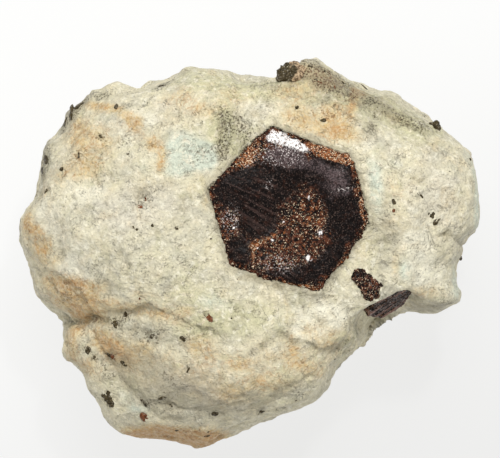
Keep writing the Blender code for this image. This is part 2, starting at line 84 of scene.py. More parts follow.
ORANGE_STAINS = [
    (-14.8, 14.6, 1.7, 0.45, -8, 1.2), (-12.4, 13.9, 1.0, 0.5, -25, 0.9), (-11.3, 12.9, 0.9, 0.9, -15, 1.3),
    (-16.9, 12.4, 1.2, 1.4, 20, 0.75), (-14.6, 11.4, 1.6, 1.2, -20, 0.55), (-16.8, 10.2, 1.0, 1.2, 10, 0.6),
    (-9.6, 11.0, 1.0, 0.8, -30, 1.1), (-8.7, 9.0, 0.45, 1.4, -10, 0.9), (-17.4, 8.1, 2.6, 0.8, 8, 0.65),
    (-15.4, 9.0, 1.0, 1.0, 0, 0.5), (-20.6, 6.2, 1.0, 0.7, 40, 0.4), (-6.6, 15.4, 2.4, 1.3, 0, 0.45),
    (-4.6, 14.2, 1.6, 0.8, -20, 0.5), (-7.4, 13.4, 1.2, 0.6, 10, 0.45), (-1.6, 15.4, 1.8, 1.0, 15, 0.5),
    (5.0, 13.3, 2.0, 1.3, -15, 0.9), (8.4, 13.4, 1.5, 1.6, 0, 0.95), (9.0, 11.9, 1.9, 0.8, -10, 1.0),
    (10.3, 15.0, 0.5, 1.9, -12, 1.2), (11.0, 16.2, 1.0, 0.6, -25, 1.0), (4.6, 16.2, 2.2, 0.9, 0, 0.7),
    (7.0, 17.6, 2.6, 1.0, -22, 1.1), (14.6, 13.4, 1.6, 0.5, -25, 0.4), (-22.2, 3.2, 0.8, 1.6, 0, 0.8),
    (-21.3, 2.3, 0.7, 0.6, 0, 0.9), (-20.6, 0.7, 1.2, 1.0, 15, 1.0), (-19.8, -1.2, 1.2, 1.2, 0, 0.4),
    (-17.8, -2.9, 2.4, 0.55, -8, 1.2), (-18.0, -4.5, 2.4, 1.2, -12, 0.80), (-15.6, -4.9, 1.4, 1.3, 0, 0.6),
    (-16.4, -6.3, 1.8, 0.6, 0, 1.0), (-17.4, -7.6, 1.2, 0.6, 0, 0.9), (-12.0, -5.3, 2.2, 0.6, -15, 0.55),
    (-8.4, -6.1, 1.6, 0.6, -22, 0.6), (-6.4, -5.5, 1.0, 0.5, 0, 0.5), (-10.7, -4.0, 0.9, 0.5, 0, 0.4),
    (-14.2, -8.8, 1.5, 0.9, -35, 1.3), (-12.6, -10.0, 1.6, 0.9, -20, 0.9), (-10.8, -9.4, 1.2, 0.6, 0, 0.6),
    (-17.8, -9.4, 0.8, 2.0, 10, 0.8), (-16.0, -11.4, 1.2, 1.0, 0, 0.6), (-4.6, -9.0, 1.8, 1.1, -15, 0.7),
    (-0.9, -10.7, 1.3, 0.7, 0, 0.6), (1.6, -12.8, 2.6, 0.8, -5, 0.6), (-1.8, -13.7, 1.3, 0.8, 0, 0.6),
    (4.3, -9.6, 0.6, 1.6, 10, 0.7), (5.5, -11.2, 1.0, 0.8, 0, 0.55), (7.2, -11.6, 0.9, 1.0, 0, 0.45),
    (3.7, -5.0, 0.4, 1.2, 10, 0.45), (6.6, -7.6, 2.2, 1.0, -20, 0.35), (-8.6, -18.2, 2.4, 0.65, -5, 1.9),
    (-5.3, -18.7, 2.0, 0.9, 0, 1.6), (-3.4, -18.3, 1.0, 0.8, 20, 1.0), (-11.2, -18.2, 1.4, 0.4, -10, 0.9),
    (-9.3, -17.6, 1.1, 0.45, -10, 1.6), (-7.4, -18.6, 3.6, 0.9, -4, 1.4), (14.4, -1.0, 0.4, 1.5, 0, 0.45),
    (17.2, -3.8, 1.9, 0.6, 5, 0.55), (14.6, 6.5, 1.2, 1.4, 0, 0.4), (13.8, 3.0, 0.9, 0.8, 0, 0.3),
    (-4.3, 5.2, 0.35, 1.6, 0, 0.5), (-14.0, 3.8, 0.8, 0.6, 0, 0.4),
]
WIDE_STAINS = [
    (-12.0, -10.4, 3.8, 2.4, -20, 0.40), (-5.0, -11.6, 4.2, 2.2, -10, 0.35),
    (3.0, -10.4, 3.8, 2.2, 10, 0.35), (8.6, -8.8, 2.2, 1.6, 0, 0.35), (-2.0, -14.6, 4.2, 1.4, -5, 0.30),
    (-7.0, -18.4, 4.6, 1.1, -4, 1.20), (-21.0, 1.6, 1.8, 3.2, 0, 0.15), (-17.6, -4.2, 3.6, 2.4, -20, 0.30),
    (-9.0, -5.6, 4.0, 1.0, -8, 0.30), (-16.6, 10.6, 3.0, 3.6, 0, 0.20), (7.0, 14.6, 4.6, 2.4, -10, 0.10),
]
GREEN_PATCHES = [
    (-6.6, 10.2, 2.2, 1.9, 0, 1.2), (-4.4, 9.6, 1.4, 1.4, 0, 1.0), (-7.4, 8.0, 1.2, 0.8, 0, 0.5),
    (-10.5, 8.6, 0.8, 1.2, 0, 0.5), (-3.4, -4.8, 2.4, 1.5, -10, 0.6), (-7.0, -0.5, 1.4, 1.9, 0, 0.4),
    (-11.0, -0.6, 1.2, 1.0, 0, 0.4), (12.5, 6.6, 1.0, 3.6, 6, 0.9), (15.5, -1.6, 1.0, 1.5, 0, 0.7),
    (14.4, 9.0, 1.2, 0.8, 0, 0.5), (20.7, -2.6, 0.8, 2.4, 0, 0.9), (22.8, 4.0, 0.6, 4.0, 0, 0.9),
    (21.9, 9.5, 0.6, 3.0, 20, 0.6), (-12.5, -14.0, 2.0, 1.0, -30, 0.5), (-11.0, -15.4, 1.6, 0.7, 0, 0.6),
    (-18.6, 2.0, 1.2, 1.0, 0, 0.35),
]
MICA_PATCHES = [
    (-1.2, 12.4, 1.3, 1.3, 0, 1.6), (-2.6, 10.9, 0.55, 2.0, 0, 1.6), (-2.0, 13.4, 0.9, 0.8, 0, 1.2),
    (-0.2, 10.9, 0.9, 0.5, 45, 1.0), (-4.7, 10.5, 0.25, 1.0, -40, 0.8), (-4.0, 10.3, 0.9, 0.2, 30, 0.7),
    (0.4, 16.6, 3.0, 0.7, 0, 0.6), (7.4, 17.8, 2.8, 1.2, -22, 1.6), (5.4, 18.6, 1.6, 1.0, 10, 1.6),
    (9.6, 16.4, 2.0, 0.8, -25, 1.4), (12.6, 15.2, 1.6, 0.7, -25, 0.9), (14.9, 13.7, 2.0, 0.8, -26, 1.0),
    (17.4, 13.0, 1.1, 0.6, -40, 0.9), (12.2, 12.7, 0.8, 0.9, 20, 0.8), (11.7, 14.6, 0.7, 0.9, 0, 1.0),
    (16.4, 12.8, 1.2, 0.5, -30, 0.7), (-20.4, 9.0, 0.50, 1.8, -10, 2.0), (-18.1, 13.5, 1.8, 0.6, 52, 2.0),
    (-16.0, 15.6, 1.5, 0.4, 38, 1.3), (-14.5, 15.7, 1.1, 0.45, 12, 1.5), (-8.4, 17.0, 1.0, 0.35, 30, 1.2),
    (-6.4, 17.9, 0.6, 0.3, 40, 0.9), (-8.8, 8.6, 0.9, 0.6, 0, 0.5), (13.9, -0.9, 0.8, 0.3, 50, 0.9),
    (14.6, 0.8, 0.5, 0.8, 0, 0.5), (16.2, 5.6, 0.8, 0.5, -30, 0.5), (9.0, -9.2, 1.7, 0.6, 25, 0.8),
    (5.0, -14.0, 2.6, 0.7, 15, 0.6), (-9.5, -8.2, 2.0, 0.8, -10, 0.7), (-11.6, -7.5, 1.6, 0.4, 0, 0.8),
    (-15.2, -6.7, 3.6, 0.28, 2, 1.2), (-6.2, -7.0, 1.6, 0.5, -25, 0.7), (-7.6, -12.8, 1.0, 1.0, 0, 0.5),
    (0.0, -12.0, 1.6, 0.9, 0, 0.4), (-14.4, -11.4, 1.4, 0.7, -50, 0.7), (-9.2, -14.6, 1.4, 0.8, 0, 0.6),
    (19.5, -5.2, 2.2, 0.5, 5, 0.9),
]
CHALK_PATCHES = [
    (7.2, -6.4, 3.2, 1.5, 12, 0.9), (16.6, 1.4, 2.2, 2.4, -10, 0.7), (-12.5, 3.0, 4.0, 2.0, 20, 0.4),
    (-15.4, 6.0, 1.6, 1.0, 0, 0.5), (11.8, 11.0, 1.4, 1.0, 0, 0.7), (1.4, 14.2, 1.2, 1.0, 0, 0.7),
    (-9.6, 13.4, 0.8, 1.4, 0, 0.5), (14.0, 12.0, 1.6, 0.7, -20, 0.5), (0.5, -4.6, 3.0, 1.0, -12, 0.4),
    (18.0, -2.2, 2.6, 2.0, 0, 0.7), (-18.0, 1.0, 3.0, 3.6, 0, 0.5), (-17.4, 6.6, 2.0, 1.6, 0, 0.4),
    (-20.4, 4.4, 1.6, 2.6, 0, 0.6), (-17.6, -2.6, 3.0, 2.0, 0, 0.6), (-13.0, 11.6, 2.4, 2.0, -20, 0.5),
    (-8.4, 11.6, 0.8, 2.0, 0, 0.4), (2.0, -9.6, 3.0, 0.8, -10, 0.5), (11.8, 5.4, 0.9, 3.0, 10, 0.4),
    (-11.6, 13.1, 1.5, 1.3, 0, 0.8), (6.6, -7.0, 3.0, 2.0, 12, 0.5), (18.0, 7.0, 3.4, 4.0, 0, 0.35),
    (-12.0, 7.0, 4.0, 2.0, 10, 0.25),
]
# Grey patches: quartz grey, which on the lower lobe is partly painted shade
GREY_AND_SHADE_PATCHES = [
    (-7.5, 1.0, 3.4, 2.4, 0, 0.4), (-5.0, -14.6, 5.0, 1.7, -5, 1.0), (-9.0, -12.0, 2.0, 1.5, 0, 0.8),
    (4.0, -14.0, 3.0, 1.0, 15, 0.7), (-9.5, -8.2, 3.4, 1.2, -12, 0.8), (-11.5, 8.0, 1.6, 2.0, 0, 0.4),
    (15.6, 12.2, 2.6, 1.5, -25, 0.7), (19.0, 8.0, 1.8, 2.2, 20, 0.5), (-19.6, 10.4, 1.0, 2.4, -20, 0.6),
    (18.6, -5.6, 3.0, 0.6, 4, 1.4),
]
OLIVE_PATCHES = [
    (-4.0, 17.2, 5.0, 1.4, 0, 0.75), (2.0, 16.4, 4.4, 1.7, 0, 0.85), (8.2, 16.6, 3.4, 1.8, -25, 0.95),
    (13.4, 14.6, 4.2, 1.9, -26, 1.00), (17.2, 12.4, 2.6, 1.6, -35, 0.60), (-2.6, 12.4, 1.8, 2.4, 0, 1.10),
    (-1.0, 10.4, 1.4, 1.2, 35, 0.80), (-7.0, -3.2, 3.6, 2.4, 0, 0.45), (-1.5, -6.2, 4.6, 2.0, -10, 0.80),
    (5.4, -6.6, 3.2, 1.8, 0, 0.40), (-5.0, -7.6, 2.4, 1.2, 0, 0.70), (10.4, -8.6, 2.2, 1.4, 20, 0.80),
    (-11.0, -13.2, 2.4, 1.8, 0, 0.45), (3.6, -12.2, 3.4, 1.9, 20, 0.50), (-15.0, 8.4, 2.6, 2.0, 0, 0.35),
    (12.0, 1.4, 1.2, 3.0, 0, 0.45), (-4.6, 6.4, 1.6, 2.6, 0, 0.35),
]
LILAC_PATCHES = [
    (-11.0, 4.6, 4.4, 2.8, 10, 0.9), (18.6, 6.0, 3.2, 4.4, 10, 0.8), (-8.0, 14.4, 2.8, 1.6, 0, 0.5),
    (0.6, 14.4, 2.2, 1.2, 0, 0.6), (-5.6, -12.8, 4.6, 2.4, -8, 0.7), (7.4, -5.4, 2.6, 1.0, 15, 0.5),
    (-17.0, 10.0, 1.6, 3.0, 0, 0.5),
]
# Darker grey-brown patches: partly grime, partly painted shade, mostly on the lower lobe, which faces away
# from the light
DIRT_AND_SHADE_PATCHES = [
    (-17.5, 12.2, 2.8, 3.2, -30, 0.75), (-19.6, 8.2, 1.8, 3.0, -10, 0.15), (-12.6, 15.6, 4.0, 0.9, 5, 0.55),
    (7.2, 17.4, 3.8, 1.6, -22, 1.2), (13.6, 14.4, 4.0, 1.4, -27, 1.00), (12.0, 12.4, 1.4, 1.6, 20, 0.70),
    (-9.6, -12.4, 4.6, 2.6, -10, 0.60), (0.4, -3.4, 6.0, 1.6, -12, 0.30), (13.6, 4.0, 1.3, 4.6, 0, 0.75),
    (0.0, 16.6, 4.6, 1.0, 0, 0.55), (-2.0, 12.4, 1.8, 2.0, 0, 0.55), (6.4, 13.6, 3.0, 1.8, -10, 0.4),
    (-5.0, -14.4, 7.0, 3.4, -5, 0.90), (-12.0, -10.2, 3.4, 2.8, -30, 0.7), (3.4, -13.2, 4.2, 2.0, 15, 0.55),
    (-6.6, -7.0, 3.2, 1.0, -20, 0.55), (9.2, -9.2, 1.7, 1.0, 25, 0.6), (17.2, -5.4, 3.4, 0.7, 3, 1.3),
    (-15.0, -6.9, 4.0, 0.6, 0, 0.5), (18.0, 9.0, 2.4, 2.6, 0, 0.25), (12.6, 0.4, 0.8, 2.6, 15, 0.3),
]

# Cracks of the front: points along each, half-width, depth
CRACKS = [
    ([(-19.0, -6.8), (-17.2, -6.9), (-15.8, -6.6), (-14.2, -6.5)], 0.22, 0.75),
    ([(-16.0, -7.0), (-15.4, -8.4), (-14.6, -9.8), (-13.6, -11.0)], 0.20, 0.30),
    ([(3.2, -3.4), (3.6, -4.4), (4.1, -5.1)], 0.13, 0.30),
    ([(5.0, -4.6), (6.0, -6.0), (6.9, -6.6), (7.4, -7.2)], 0.13, 0.30),
    ([(-5.6, 11.0), (-4.9, 10.2), (-4.4, 9.6)], 0.14, 0.25),
    ([(-4.7, 10.2), (-3.9, 10.6), (-3.4, 10.9)], 0.12, 0.20),
    ([(9.5, -4.0), (9.9, -5.8), (10.2, -7.4), (10.0, -9.0)], 0.14, 0.20),
    ([(13.0, 0.2), (14.0, -0.9), (14.8, -1.4)], 0.16, 0.28),
    ([(16.4, 7.6), (17.6, 6.8), (18.6, 6.4)], 0.15, 0.20),
    ([(18.6, 1.6), (19.8, 2.0), (20.8, 1.2), (21.8, 0.6)], 0.18, 0.30),
]
# Ledges of the front: points along each, its low side (1 left, -1 right), reach, drop
LEDGES = [
    ([(-12.4, -5.5), (-10.0, -5.1), (-7.8, -5.7), (-6.0, -6.9), (-3.4, -7.6)], -1, 1.3, 0.42),
    ([(-3.0, 12.6), (-2.9, 11.0), (-3.1, 9.0)], 1, 1.4, 0.40),
    ([(9.0, 15.4), (12.4, 14.2), (15.6, 12.6), (18.0, 11.2)], 1, 1.6, 0.42),
    ([(11.6, 15.6), (14.0, 14.6), (16.4, 13.6)], 1, 1.2, 0.34),
    ([(2.6, 16.2), (5.6, 15.4), (8.6, 14.6), (10.6, 13.2)], 1, 1.8, 0.40),
    ([(-17.4, 8.4), (-14.6, 9.6), (-12.6, 11.6), (-9.0, 12.6)], 1, 1.8, 0.30),
    ([(13.0, 9.6), (15.0, 7.8), (17.6, 7.2), (20.0, 5.6)], 1, 1.4, 0.22),
    ([(4.0, -8.0), (7.0, -9.4), (10.6, -8.6)], -1, 1.2, 0.32),
    ([(-21.0, -1.6), (-18.4, -2.2), (-16.6, -4.0), (-15.6, -5.8)], -1, 1.4, 0.26),
    ([(-12.0, -13.0), (-10.0, -14.6), (-6.0, -15.4), (-1.0, -14.6)], -1, 1.4, 0.26),
]
# Dents (+) and swellings (-) of the outline: x, y, half-length, half-width, turn in degrees, depth
OUTLINE_DENTS = [
    (-11.0, 17.6, 2.4, 1.6, 0, 0.90), (-14.8, 16.4, 1.8, 1.4, 40, 0.55), (-17.0, 15.0, 1.4, 1.2, 40, 0.25),
    (0.2, 18.4, 3.0, 1.6, 0, 0.95), (3.3, 18.9, 1.5, 1.2, 30, 0.75), (-21.6, 6.4, 1.6, 1.4, 90, 0.55),
    (12.2, 16.8, 2.4, 1.4, -25, 0.40), (17.4, 14.2, 2.0, 1.4, -40, 0.25), (23.0, 6.2, 1.6, 1.2, 90, 0.25),
    (12.6, -7.0, 2.1, 1.7, 50, 1.15), (15.6, -6.3, 2.0, 0.9, 5, 0.35), (9.8, -10.8, 1.6, 1.3, 50, 1.20),
    (-18.9, -6.7, 1.0, 0.9, 45, 0.55), (-18.8, -9.0, 1.2, 1.0, 90, 0.25),
    (-21.0, -4.6, 1.3, 1.2, 60, -0.40), (-13.4, -17.4, 1.8, 1.4, -50, -0.40),
    (18.2, -6.0, 2.2, 1.2, 8, -0.60), (21.4, -2.2, 1.8, 1.2, 80, -0.40),
]

# --- Small grains: x, y, half-length, half-width, turn in degrees ---

BLACK_SPECKS = [
    (-17.7, 14.1, 0.75, 0.28, 45), (-16.9, 14.8, 0.55, 0.22, 40), (-18.3, 13.2, 0.60, 0.24, 50),
    (-20.3, 9.4, 0.70, 0.30, 75), (-20.5, 8.3, 0.60, 0.26, 80), (-8.6, 16.8, 0.55, 0.18, 20),
    (11.7, 16.5, 0.60, 0.07, -22), (6.1, 18.6, 0.22, 0.14, 30), (7.6, 18.1, 0.20, 0.12, 60),
    (6.6, 17.2, 0.14, 0.08, -20), (9.4, 16.9, 0.22, 0.07, -35), (10.3, 15.5, 0.15, 0.07, -60),
    (12.4, 13.6, 0.12, 0.08, 70), (1.2, -15.7, 0.30, 0.16, 35), (-9.7, -8.1, 0.20, 0.12, 0),
    (-13.9, -10.1, 0.34, 0.24, -50), (7.3, 13.2, 0.26, 0.20, 30), (4.7, 14.5, 0.18, 0.15, 0),
    (14.3, 5.2, 0.17, 0.15, 0), (21.1, -0.4, 0.50, 0.20, 80), (22.1, 1.6, 0.36, 0.16, 60),
    (-13.2, -7.0, 0.34, 0.24, 20), (-16.0, -9.6, 0.36, 0.24, -55), (-15.4, -10.4, 0.22, 0.14, -40),
    (-12.4, -10.9, 0.34, 0.15, 15), (-6.5, -8.4, 0.32, 0.17, -10), (-6.1, -11.5, 0.12, 0.30, 10),
    (-8.6, -14.3, 0.34, 0.20, 15), (-7.8, -15.0, 0.20, 0.10, -20), (-10.3, -15.0, 0.24, 0.18, -60),
    (-10.7, -14.5, 0.14, 0.12, 0), (-3.4, -15.9, 0.27, 0.24, 30), (-7.2, -17.6, 0.20, 0.10, 40),
    (-4.2, -18.1, 0.28, 0.10, 30), (1.2, -15.6, 0.22, 0.14, 60), (-12.2, -6.0, 0.30, 0.18, -30),
    (-9.5, -8.0, 0.20, 0.14, 40), (-13.2, 14.6, 0.26, 0.17, 20), (-14.7, 11.6, 0.17, 0.14, 0),
    (-18.6, 8.4, 0.17, 0.15, 0), (-16.9, 9.7, 0.24, 0.10, 10), (-20.1, 6.3, 0.26, 0.12, 20),
    (-8.6, 16.7, 0.24, 0.15, -20), (-12.0, 9.9, 0.12, 0.10, 0), (-11.4, 2.7, 0.14, 0.12, 0),
    (-9.6, 2.8, 0.14, 0.12, 0), (-7.2, 2.6, 0.14, 0.12, 0), (13.3, 17.1, 0.34, 0.10, -20),
    (17.8, 3.9, 0.20, 0.16, 0), (22.0, 9.4, 0.20, 0.12, -60), (16.9, 5.8, 0.30, 0.10, 30),
]
BROWN_SPECKS = [
    (6.2, 18.3, 0.16, 0.10, 30), (7.0, 17.0, 0.18, 0.07, -20), (8.5, 16.5, 0.16, 0.06, -40),
    (-3.9, -6.3, 0.34, 0.22, -40), (-4.2, -6.0, 0.18, 0.12, -40), (-13.6, -10.2, 0.38, 0.28, -50),
    (-10.7, -4.4, 0.17, 0.14, 0), (-10.2, 5.4, 0.16, 0.12, 60), (-10.8, 4.7, 0.18, 0.12, -30),
    (14.3, 4.3, 0.14, 0.12, 0),
]

# --- The hexagonal crystal's face: x, y, half-length, half-width, turn in degrees, strength ---

SMOOTH_PLATES = [
    (0.9, 7.2, 3.6, 1.7, -14, 1.6), (-1.8, 6.0, 1.6, 1.4, -20, 1.2), (0.9, 3.3, 1.8, 1.6, 20, 1.5),
    (-1.3, 0.6, 0.9, 1.1, 10, 0.9), (8.2, 7.9, 2.8, 1.6, -22, 1.6), (9.6, 3.7, 1.7, 2.3, -12, 1.6),
    (8.8, 6.0, 1.4, 1.4, 0, 1.0), (-0.8, -0.2, 1.2, 1.0, -30, 0.9), (8.4, -0.2, 1.8, 1.1, 35, 1.1),
    (6.0, -2.1, 2.6, 1.0, 6, 1.5), (3.9, 9.3, 2.8, 1.2, -16, 1.0), (2.0, -1.9, 1.8, 0.6, -14, 0.6),
    (8.0, 10.1, 2.4, 0.75, -20, -1.8), (0.1, 9.6, 1.9, 0.75, 48, -1.4), (5.8, 9.3, 0.7, 0.5, 20, -0.8),
]
# Painted sheen: where the plates' purple-grey reflection is painted into their colour
SHEEN_PATCHES = [
    (8.2, 7.9, 2.0, 1.0, -22, 0.75), (3.4, 9.8, 2.8, 1.1, -16, 1.2), (8.6, 6.3, 1.8, 1.0, 0, 0.45),
    (9.6, 4.0, 1.2, 1.2, 0, 0.25),
]
SPARKLE_PATCHES = [
    (2.6, 9.7, 1.9, 1.0, -10, 1.0), (-0.2, 8.8, 1.2, 0.7, 40, 0.5), (3.0, -1.0, 2.4, 1.2, -10, 0.7),
    (-1.8, 3.4, 1.2, 1.6, 0, 0.8), (3.8, 9.5, 2.4, 0.9, -16, 0.5), (1.9, 6.9, 0.6, 0.8, 0, 0.7),
    (7.0, 2.1, 0.5, 0.4, 30, 1.4), (5.8, -0.5, 0.4, 0.3, 0, 1.4), (9.2, 6.4, 1.6, 0.4, 10, 0.6),
    (9.0, 8.2, 1.4, 0.8, -22, 0.35), (9.4, 3.2, 1.2, 1.6, 0, 0.25),
]
ORANGE_PATCHES = [
    (1.4, 1.4, 1.6, 0.35, 22, 1.2), (0.3, 0.4, 0.30, 1.0, -20, 1.4), (0.4, -0.7, 0.25, 0.9, 0, 0.9),
    (7.8, 10.2, 2.0, 0.9, -20, 2.0), (9.4, 9.6, 1.0, 0.5, -30, 1.2), (5.6, 4.6, 1.3, 1.3, 0, 0.40),
    (6.6, 2.6, 1.6, 1.2, -40, 0.45), (4.8, 1.6, 1.6, 0.8, 0, 0.30), (5.0, -3.1, 1.9, 0.35, -12, 1.4),
    (0.0, 9.6, 1.9, 0.8, 48, 1.1), (7.5, 4.4, 0.6, 1.0, 0, 0.6), (3.2, 0.6, 1.2, 0.6, -20, 0.5),
    (-3.6, 4.0, 0.4, 2.2, 20, 0.6), (11.1, 4.4, 0.35, 2.8, 10, 0.9), (-3.0, 0.2, 0.4, 1.6, 20, 0.5),
    (9.8, -0.4, 0.5, 1.6, -40, 0.5),
]
# Painted glints: a bright stripe where the light's reflection is painted into the crystal's colour, on a face
# that also tilts towards the light
GLINT_BAND = [
    (2.7, 11.7, 1.4, 0.66, -10, 1.2), (4.8, 10.9, 1.4, 0.60, -24, 1.2), (3.0, 10.9, 2.2, 1.3, -16, 0.25),
]
GLINT_SPOTS = [
    (7.0, 2.1, 0.30, 0.18, 40, 1.3), (5.8, -0.4, 0.20, 0.32, 0, 1.3), (2.3, 1.4, 0.22, 0.16, 0, 1.0),
    (5.9, 5.6, 0.13, 0.30, 0, 1.0), (-1.5, 2.6, 0.20, 0.14, 30, 0.9), (3.4, 3.2, 0.16, 0.12, 0, 0.9),
    (0.8, 0.6, 0.14, 0.14, 0, 0.9),
]

# --- Measures of the meshes ---

MERGE_DISTANCE = 0.001
BOX_MARGIN = 0.002
SMALL_CRYSTAL_MESH = 0.09
GRAIN_MESH = 0.07

# --- Measures of the stone ---

HEXAGON = "ferronigerite_crystal"
GRAIN_NODES = ("dark_grain_upper_right", "dark_grain_right", "dark_grain_lower_left", "red_grain")
EDGE_CRYSTAL_FACING = Vector((0.50, -0.78, 0.38)).normalized()

# Beds close the gap round each crystal: how much wider than it they are, and how far they move into the stone
BEDS = {
    HEXAGON: (0.45, (0, 0, -0.40)),
    "small_crystal": (0.45, (0, 0, -0.35)),
    "edge_crystal": (0.45, -0.42 * EDGE_CRYSTAL_FACING),
    "top_crystal": (0.15, (0, 0, -0.45)),
}
GRAIN_BED = (0.40, (0, 0, -0.50))

# Chips of the stone: size, share of the settings' height, shift of the noise
STONE_CHIPS = [(2.6, 1.0, 0.0), (1.25, 0.55, 31.0)]
LUMP_SIZE = 5.0
RIDGE_SIZE = 1.5
GRAIN_SIZE = 0.7
PIT_SIZE = 1.9
PIT_DEPTH = 0.25
# Painted shade of the hollows: how far the fine relief sinks where the darkening starts and where it is full
HOLLOW_SHADE_DEPTHS = (0.08, 0.45)

# How far the stone lies under the face of each crystal at its rim, and how much deeper further in
SINKS = {HEXAGON: 0.16, "small_crystal": 0.14, "top_crystal": 0.10}
INNER_SINK = 0.5
SINK_RAGGEDNESS = 0.36
SINK_RAGGED_SIZE = 0.7

# Painted patches fade down the sides: raggedness of their lower edge, its size, and how far they reach down
FADE_RAGGEDNESS = 1.4
FADE_RAGGED_SIZE = 2.6
FADE_REACH = 1.6
FADE_REACH_SHARE = 1.3

# The front's own marks end raggedly between these heights
FRONT_EDGE = (6.5, 11.5)
FRONT_RAGGEDNESS = 2.2
LINE_WANDER = 0.25

# Mica round each placed speck: share of the speck's size, what is added to it, strength
HALO = (1.6, 0.15, 0.9)
CRYSTAL_EDGE_DIRT = 0.9
CRYSTAL_EDGE_DIRT_WIDTH = 0.7

# How each painted patch breaks up: noise size, start, end, noise detail, noise reach, share of its colour
PATCH_EDGES = {
    "grey": (1.3, 0.30, 0.80, 5.0, 0.7, 0.70),
    "olive": (1.4, 0.10, 0.90, 6.0, 1.8, 0.75),
    "lilac": (1.7, 0.10, 0.90, 6.0, 1.8, 0.55),
    "green": (1.6, 0.25, 0.85, 5.0, 0.7, 0.90),
    "chalk": (0.90, 0.30, 0.75, 5.0, 0.7, 0.65),
    "dirt_and_shade": (0.90, 0.30, 1.10, 6.0, 2.4, 0.55),
    "mica": (0.60, 0.30, 1.00, 6.0, 1.6, 0.24),
}

# --- Measures of the crystals ---

PLATE_DEPTH = 3.2
FLATTENED = 0.55
FACET_SHARPNESS = 6.0
FINE_FACET_SIZE = 0.24
FINE_FACET_SHIFT = 3.0
BAND_SLOPE = 0.28
BAND_REACH = 0.6
WARM_RIM_WIDTH = 0.95
WARM_RIM_ORANGE = 0.5
STRIATION_SOURCE = (-13.0, 11.8)
STRIATION_EDGE = (3.5, 6.0)
STRIATION_HEIGHT = 0.012
EDGE_STRIATION_TURN = 34
EDGE_STRIATION_HEIGHT = 0.30
TOP_CRYSTAL_DUST = (3.7, 5.3)

# How each painted surface of a crystal breaks up: noise size, start, end, noise detail, noise reach
SURFACE_EDGES = {
    "granular": (0.45, 0.35, 0.85, 6.0, 0.8),
    "sheen": (0.80, 0.20, 0.95, 6.0, 1.5),
    "sparkle": (0.50, 0.20, 0.80, 5.0, 0.7),
    "orange": (0.45, 0.15, 1.00, 5.0, 1.0),
    "band": (0.30, 0.32, 0.80, 5.0, 1.4),
}

# --- Measures of the specks ---

SPECK_SPREAD = 1.4
SPECK_RISE = 0.6
SPECK_SINK = 0.25
SPECK_ROUGHNESS = 0.13
ROUNDER_ABOVE = 0.11
STREWN_HALF_LENGTHS = (0.04, 0.11)
STREWN_WIDTH_SHARES = (0.4, 0.9)
CLUSTER_SIZE = 4
CLUSTER_START = -0.15

# --- Measures of the stage, in metres ---

FLOOR_DROP = 0.00002
FLOOR_GLOW_SLOPE = -0.40
FLOOR_GLOW = (-0.06, 0.03, 0.685, 0.862)
KEY_LIGHT_PLACE = (0.00, 0.23, 0.43)
KEY_LIGHT_SIZE = 0.26
SPARKLE_LIGHT_PLACE = (0.08, 0.22, 0.45)
SPARKLE_LIGHT_SIZE = 0.04
CAMERA_PLACE = (0.00008, 0.00248)
SENSOR_WIDTH = 36
SHARP_HEIGHT = 0.012


def tone(name, description, default):
    """A colour that a user can change."""
    return FloatVectorProperty(name=name, description=description, subtype="COLOR", default=default)


def amount(name, description, default, unit="NONE"):
    """A number that a user can change."""
    return FloatProperty(name=name, description=description, default=default, unit=unit)


class StoneSettings(PropertyGroup):
    """Sizes of the stone's relief, and its colours"""

    mesh_size: amount("Mesh size", "Spacing of the stone's surface mesh", 0.26 * MM, "LENGTH")
    lump_height: amount("Lumps", "Height of the broad lumps in mm", 0.26)
    chip_height: amount("Chips", "Height of the broken chips in mm", 0.20)
    ridge_height: amount("Ridges", "Height of the sharp small ridges in mm", 0.12)
    grain_height: amount("Grain", "Height of the finest relief in mm", 0.06)
    cream: tone("Cream", "Feldspar", (0.76, 0.70, 0.50))
    grey: tone("Grey", "Quartz", (0.60, 0.565, 0.43))
    chalk: tone("Chalk", "White feldspar", (0.93, 0.89, 0.72))
    tan: tone("Tan", "Iron stain", (0.72, 0.535, 0.26))
    rust: tone("Rust", "Strong iron stain", (0.47, 0.23, 0.080))
    green: tone("Green", "Pale green feldspar", (0.66, 0.71, 0.58))
    olive: tone("Olive", "Weathered feldspar", (0.60, 0.575, 0.345))
    lilac: tone("Lilac", "Greyish feldspar", (0.70, 0.645, 0.53))
    # Grey-brown of grime, which also paints shade into the hollows and onto the lower lobe
    dirt_and_shade: tone("Dirt", "Grey-brown film of the hollows", (0.35, 0.305, 0.205))
    mica: tone("Mica", "Olive mica", (0.22, 0.19, 0.11))
    speckle: tone("Speckle", "Fine dark dust", (0.15, 0.12, 0.07))
    rusty_speckle: tone("Rusty speckle", "Fine dust within the stains", (0.20, 0.085, 0.035))


class CrystalSettings(PropertyGroup):
    """Sizes of the crystals' facets, and their colours"""

    mesh_size: amount("Mesh size", "Spacing of the crystals' surface mesh", 0.11 * MM, "LENGTH")
    facet_size: amount("Facet size", "Width of the granular facets in mm", 0.42)
    facet_height: amount("Facet height", "Height of the granular facets in mm", 0.13)
    dark: tone("Dark", "Smooth plates", (0.0045, 0.0032, 0.0030))
    red: tone("Red brown", "Granular breaks", (0.105, 0.034, 0.017))
    dust: tone("Dust", "Fine pale dust of the plates", (0.16, 0.11, 0.09))
    orange: tone("Orange", "Lit thin edges", (0.30, 0.105, 0.036))
    # Tan: pale grains, which partly stand for painted glints
    tan: tone("Tan", "Pale grains between", (0.88, 0.70, 0.48))
    # Sheen: a painted sheen, the plates' purple-grey reflection
    sheen: tone("Sheen", "Purple-grey plates", (0.115, 0.083, 0.083))
    sparkle: tone("Sparkle", "Grey sparkling grains", (0.64, 0.57, 0.54))
    glint: tone("Glint", "Bright breaks", (0.95, 0.91, 0.88))
    line: tone("Growth lines", "Lines of the large plate", (0.17, 0.10, 0.085))
    edge_line: tone("Edge crystal's lines", "Lines of the plate in the notch", (0.40, 0.22, 0.17))


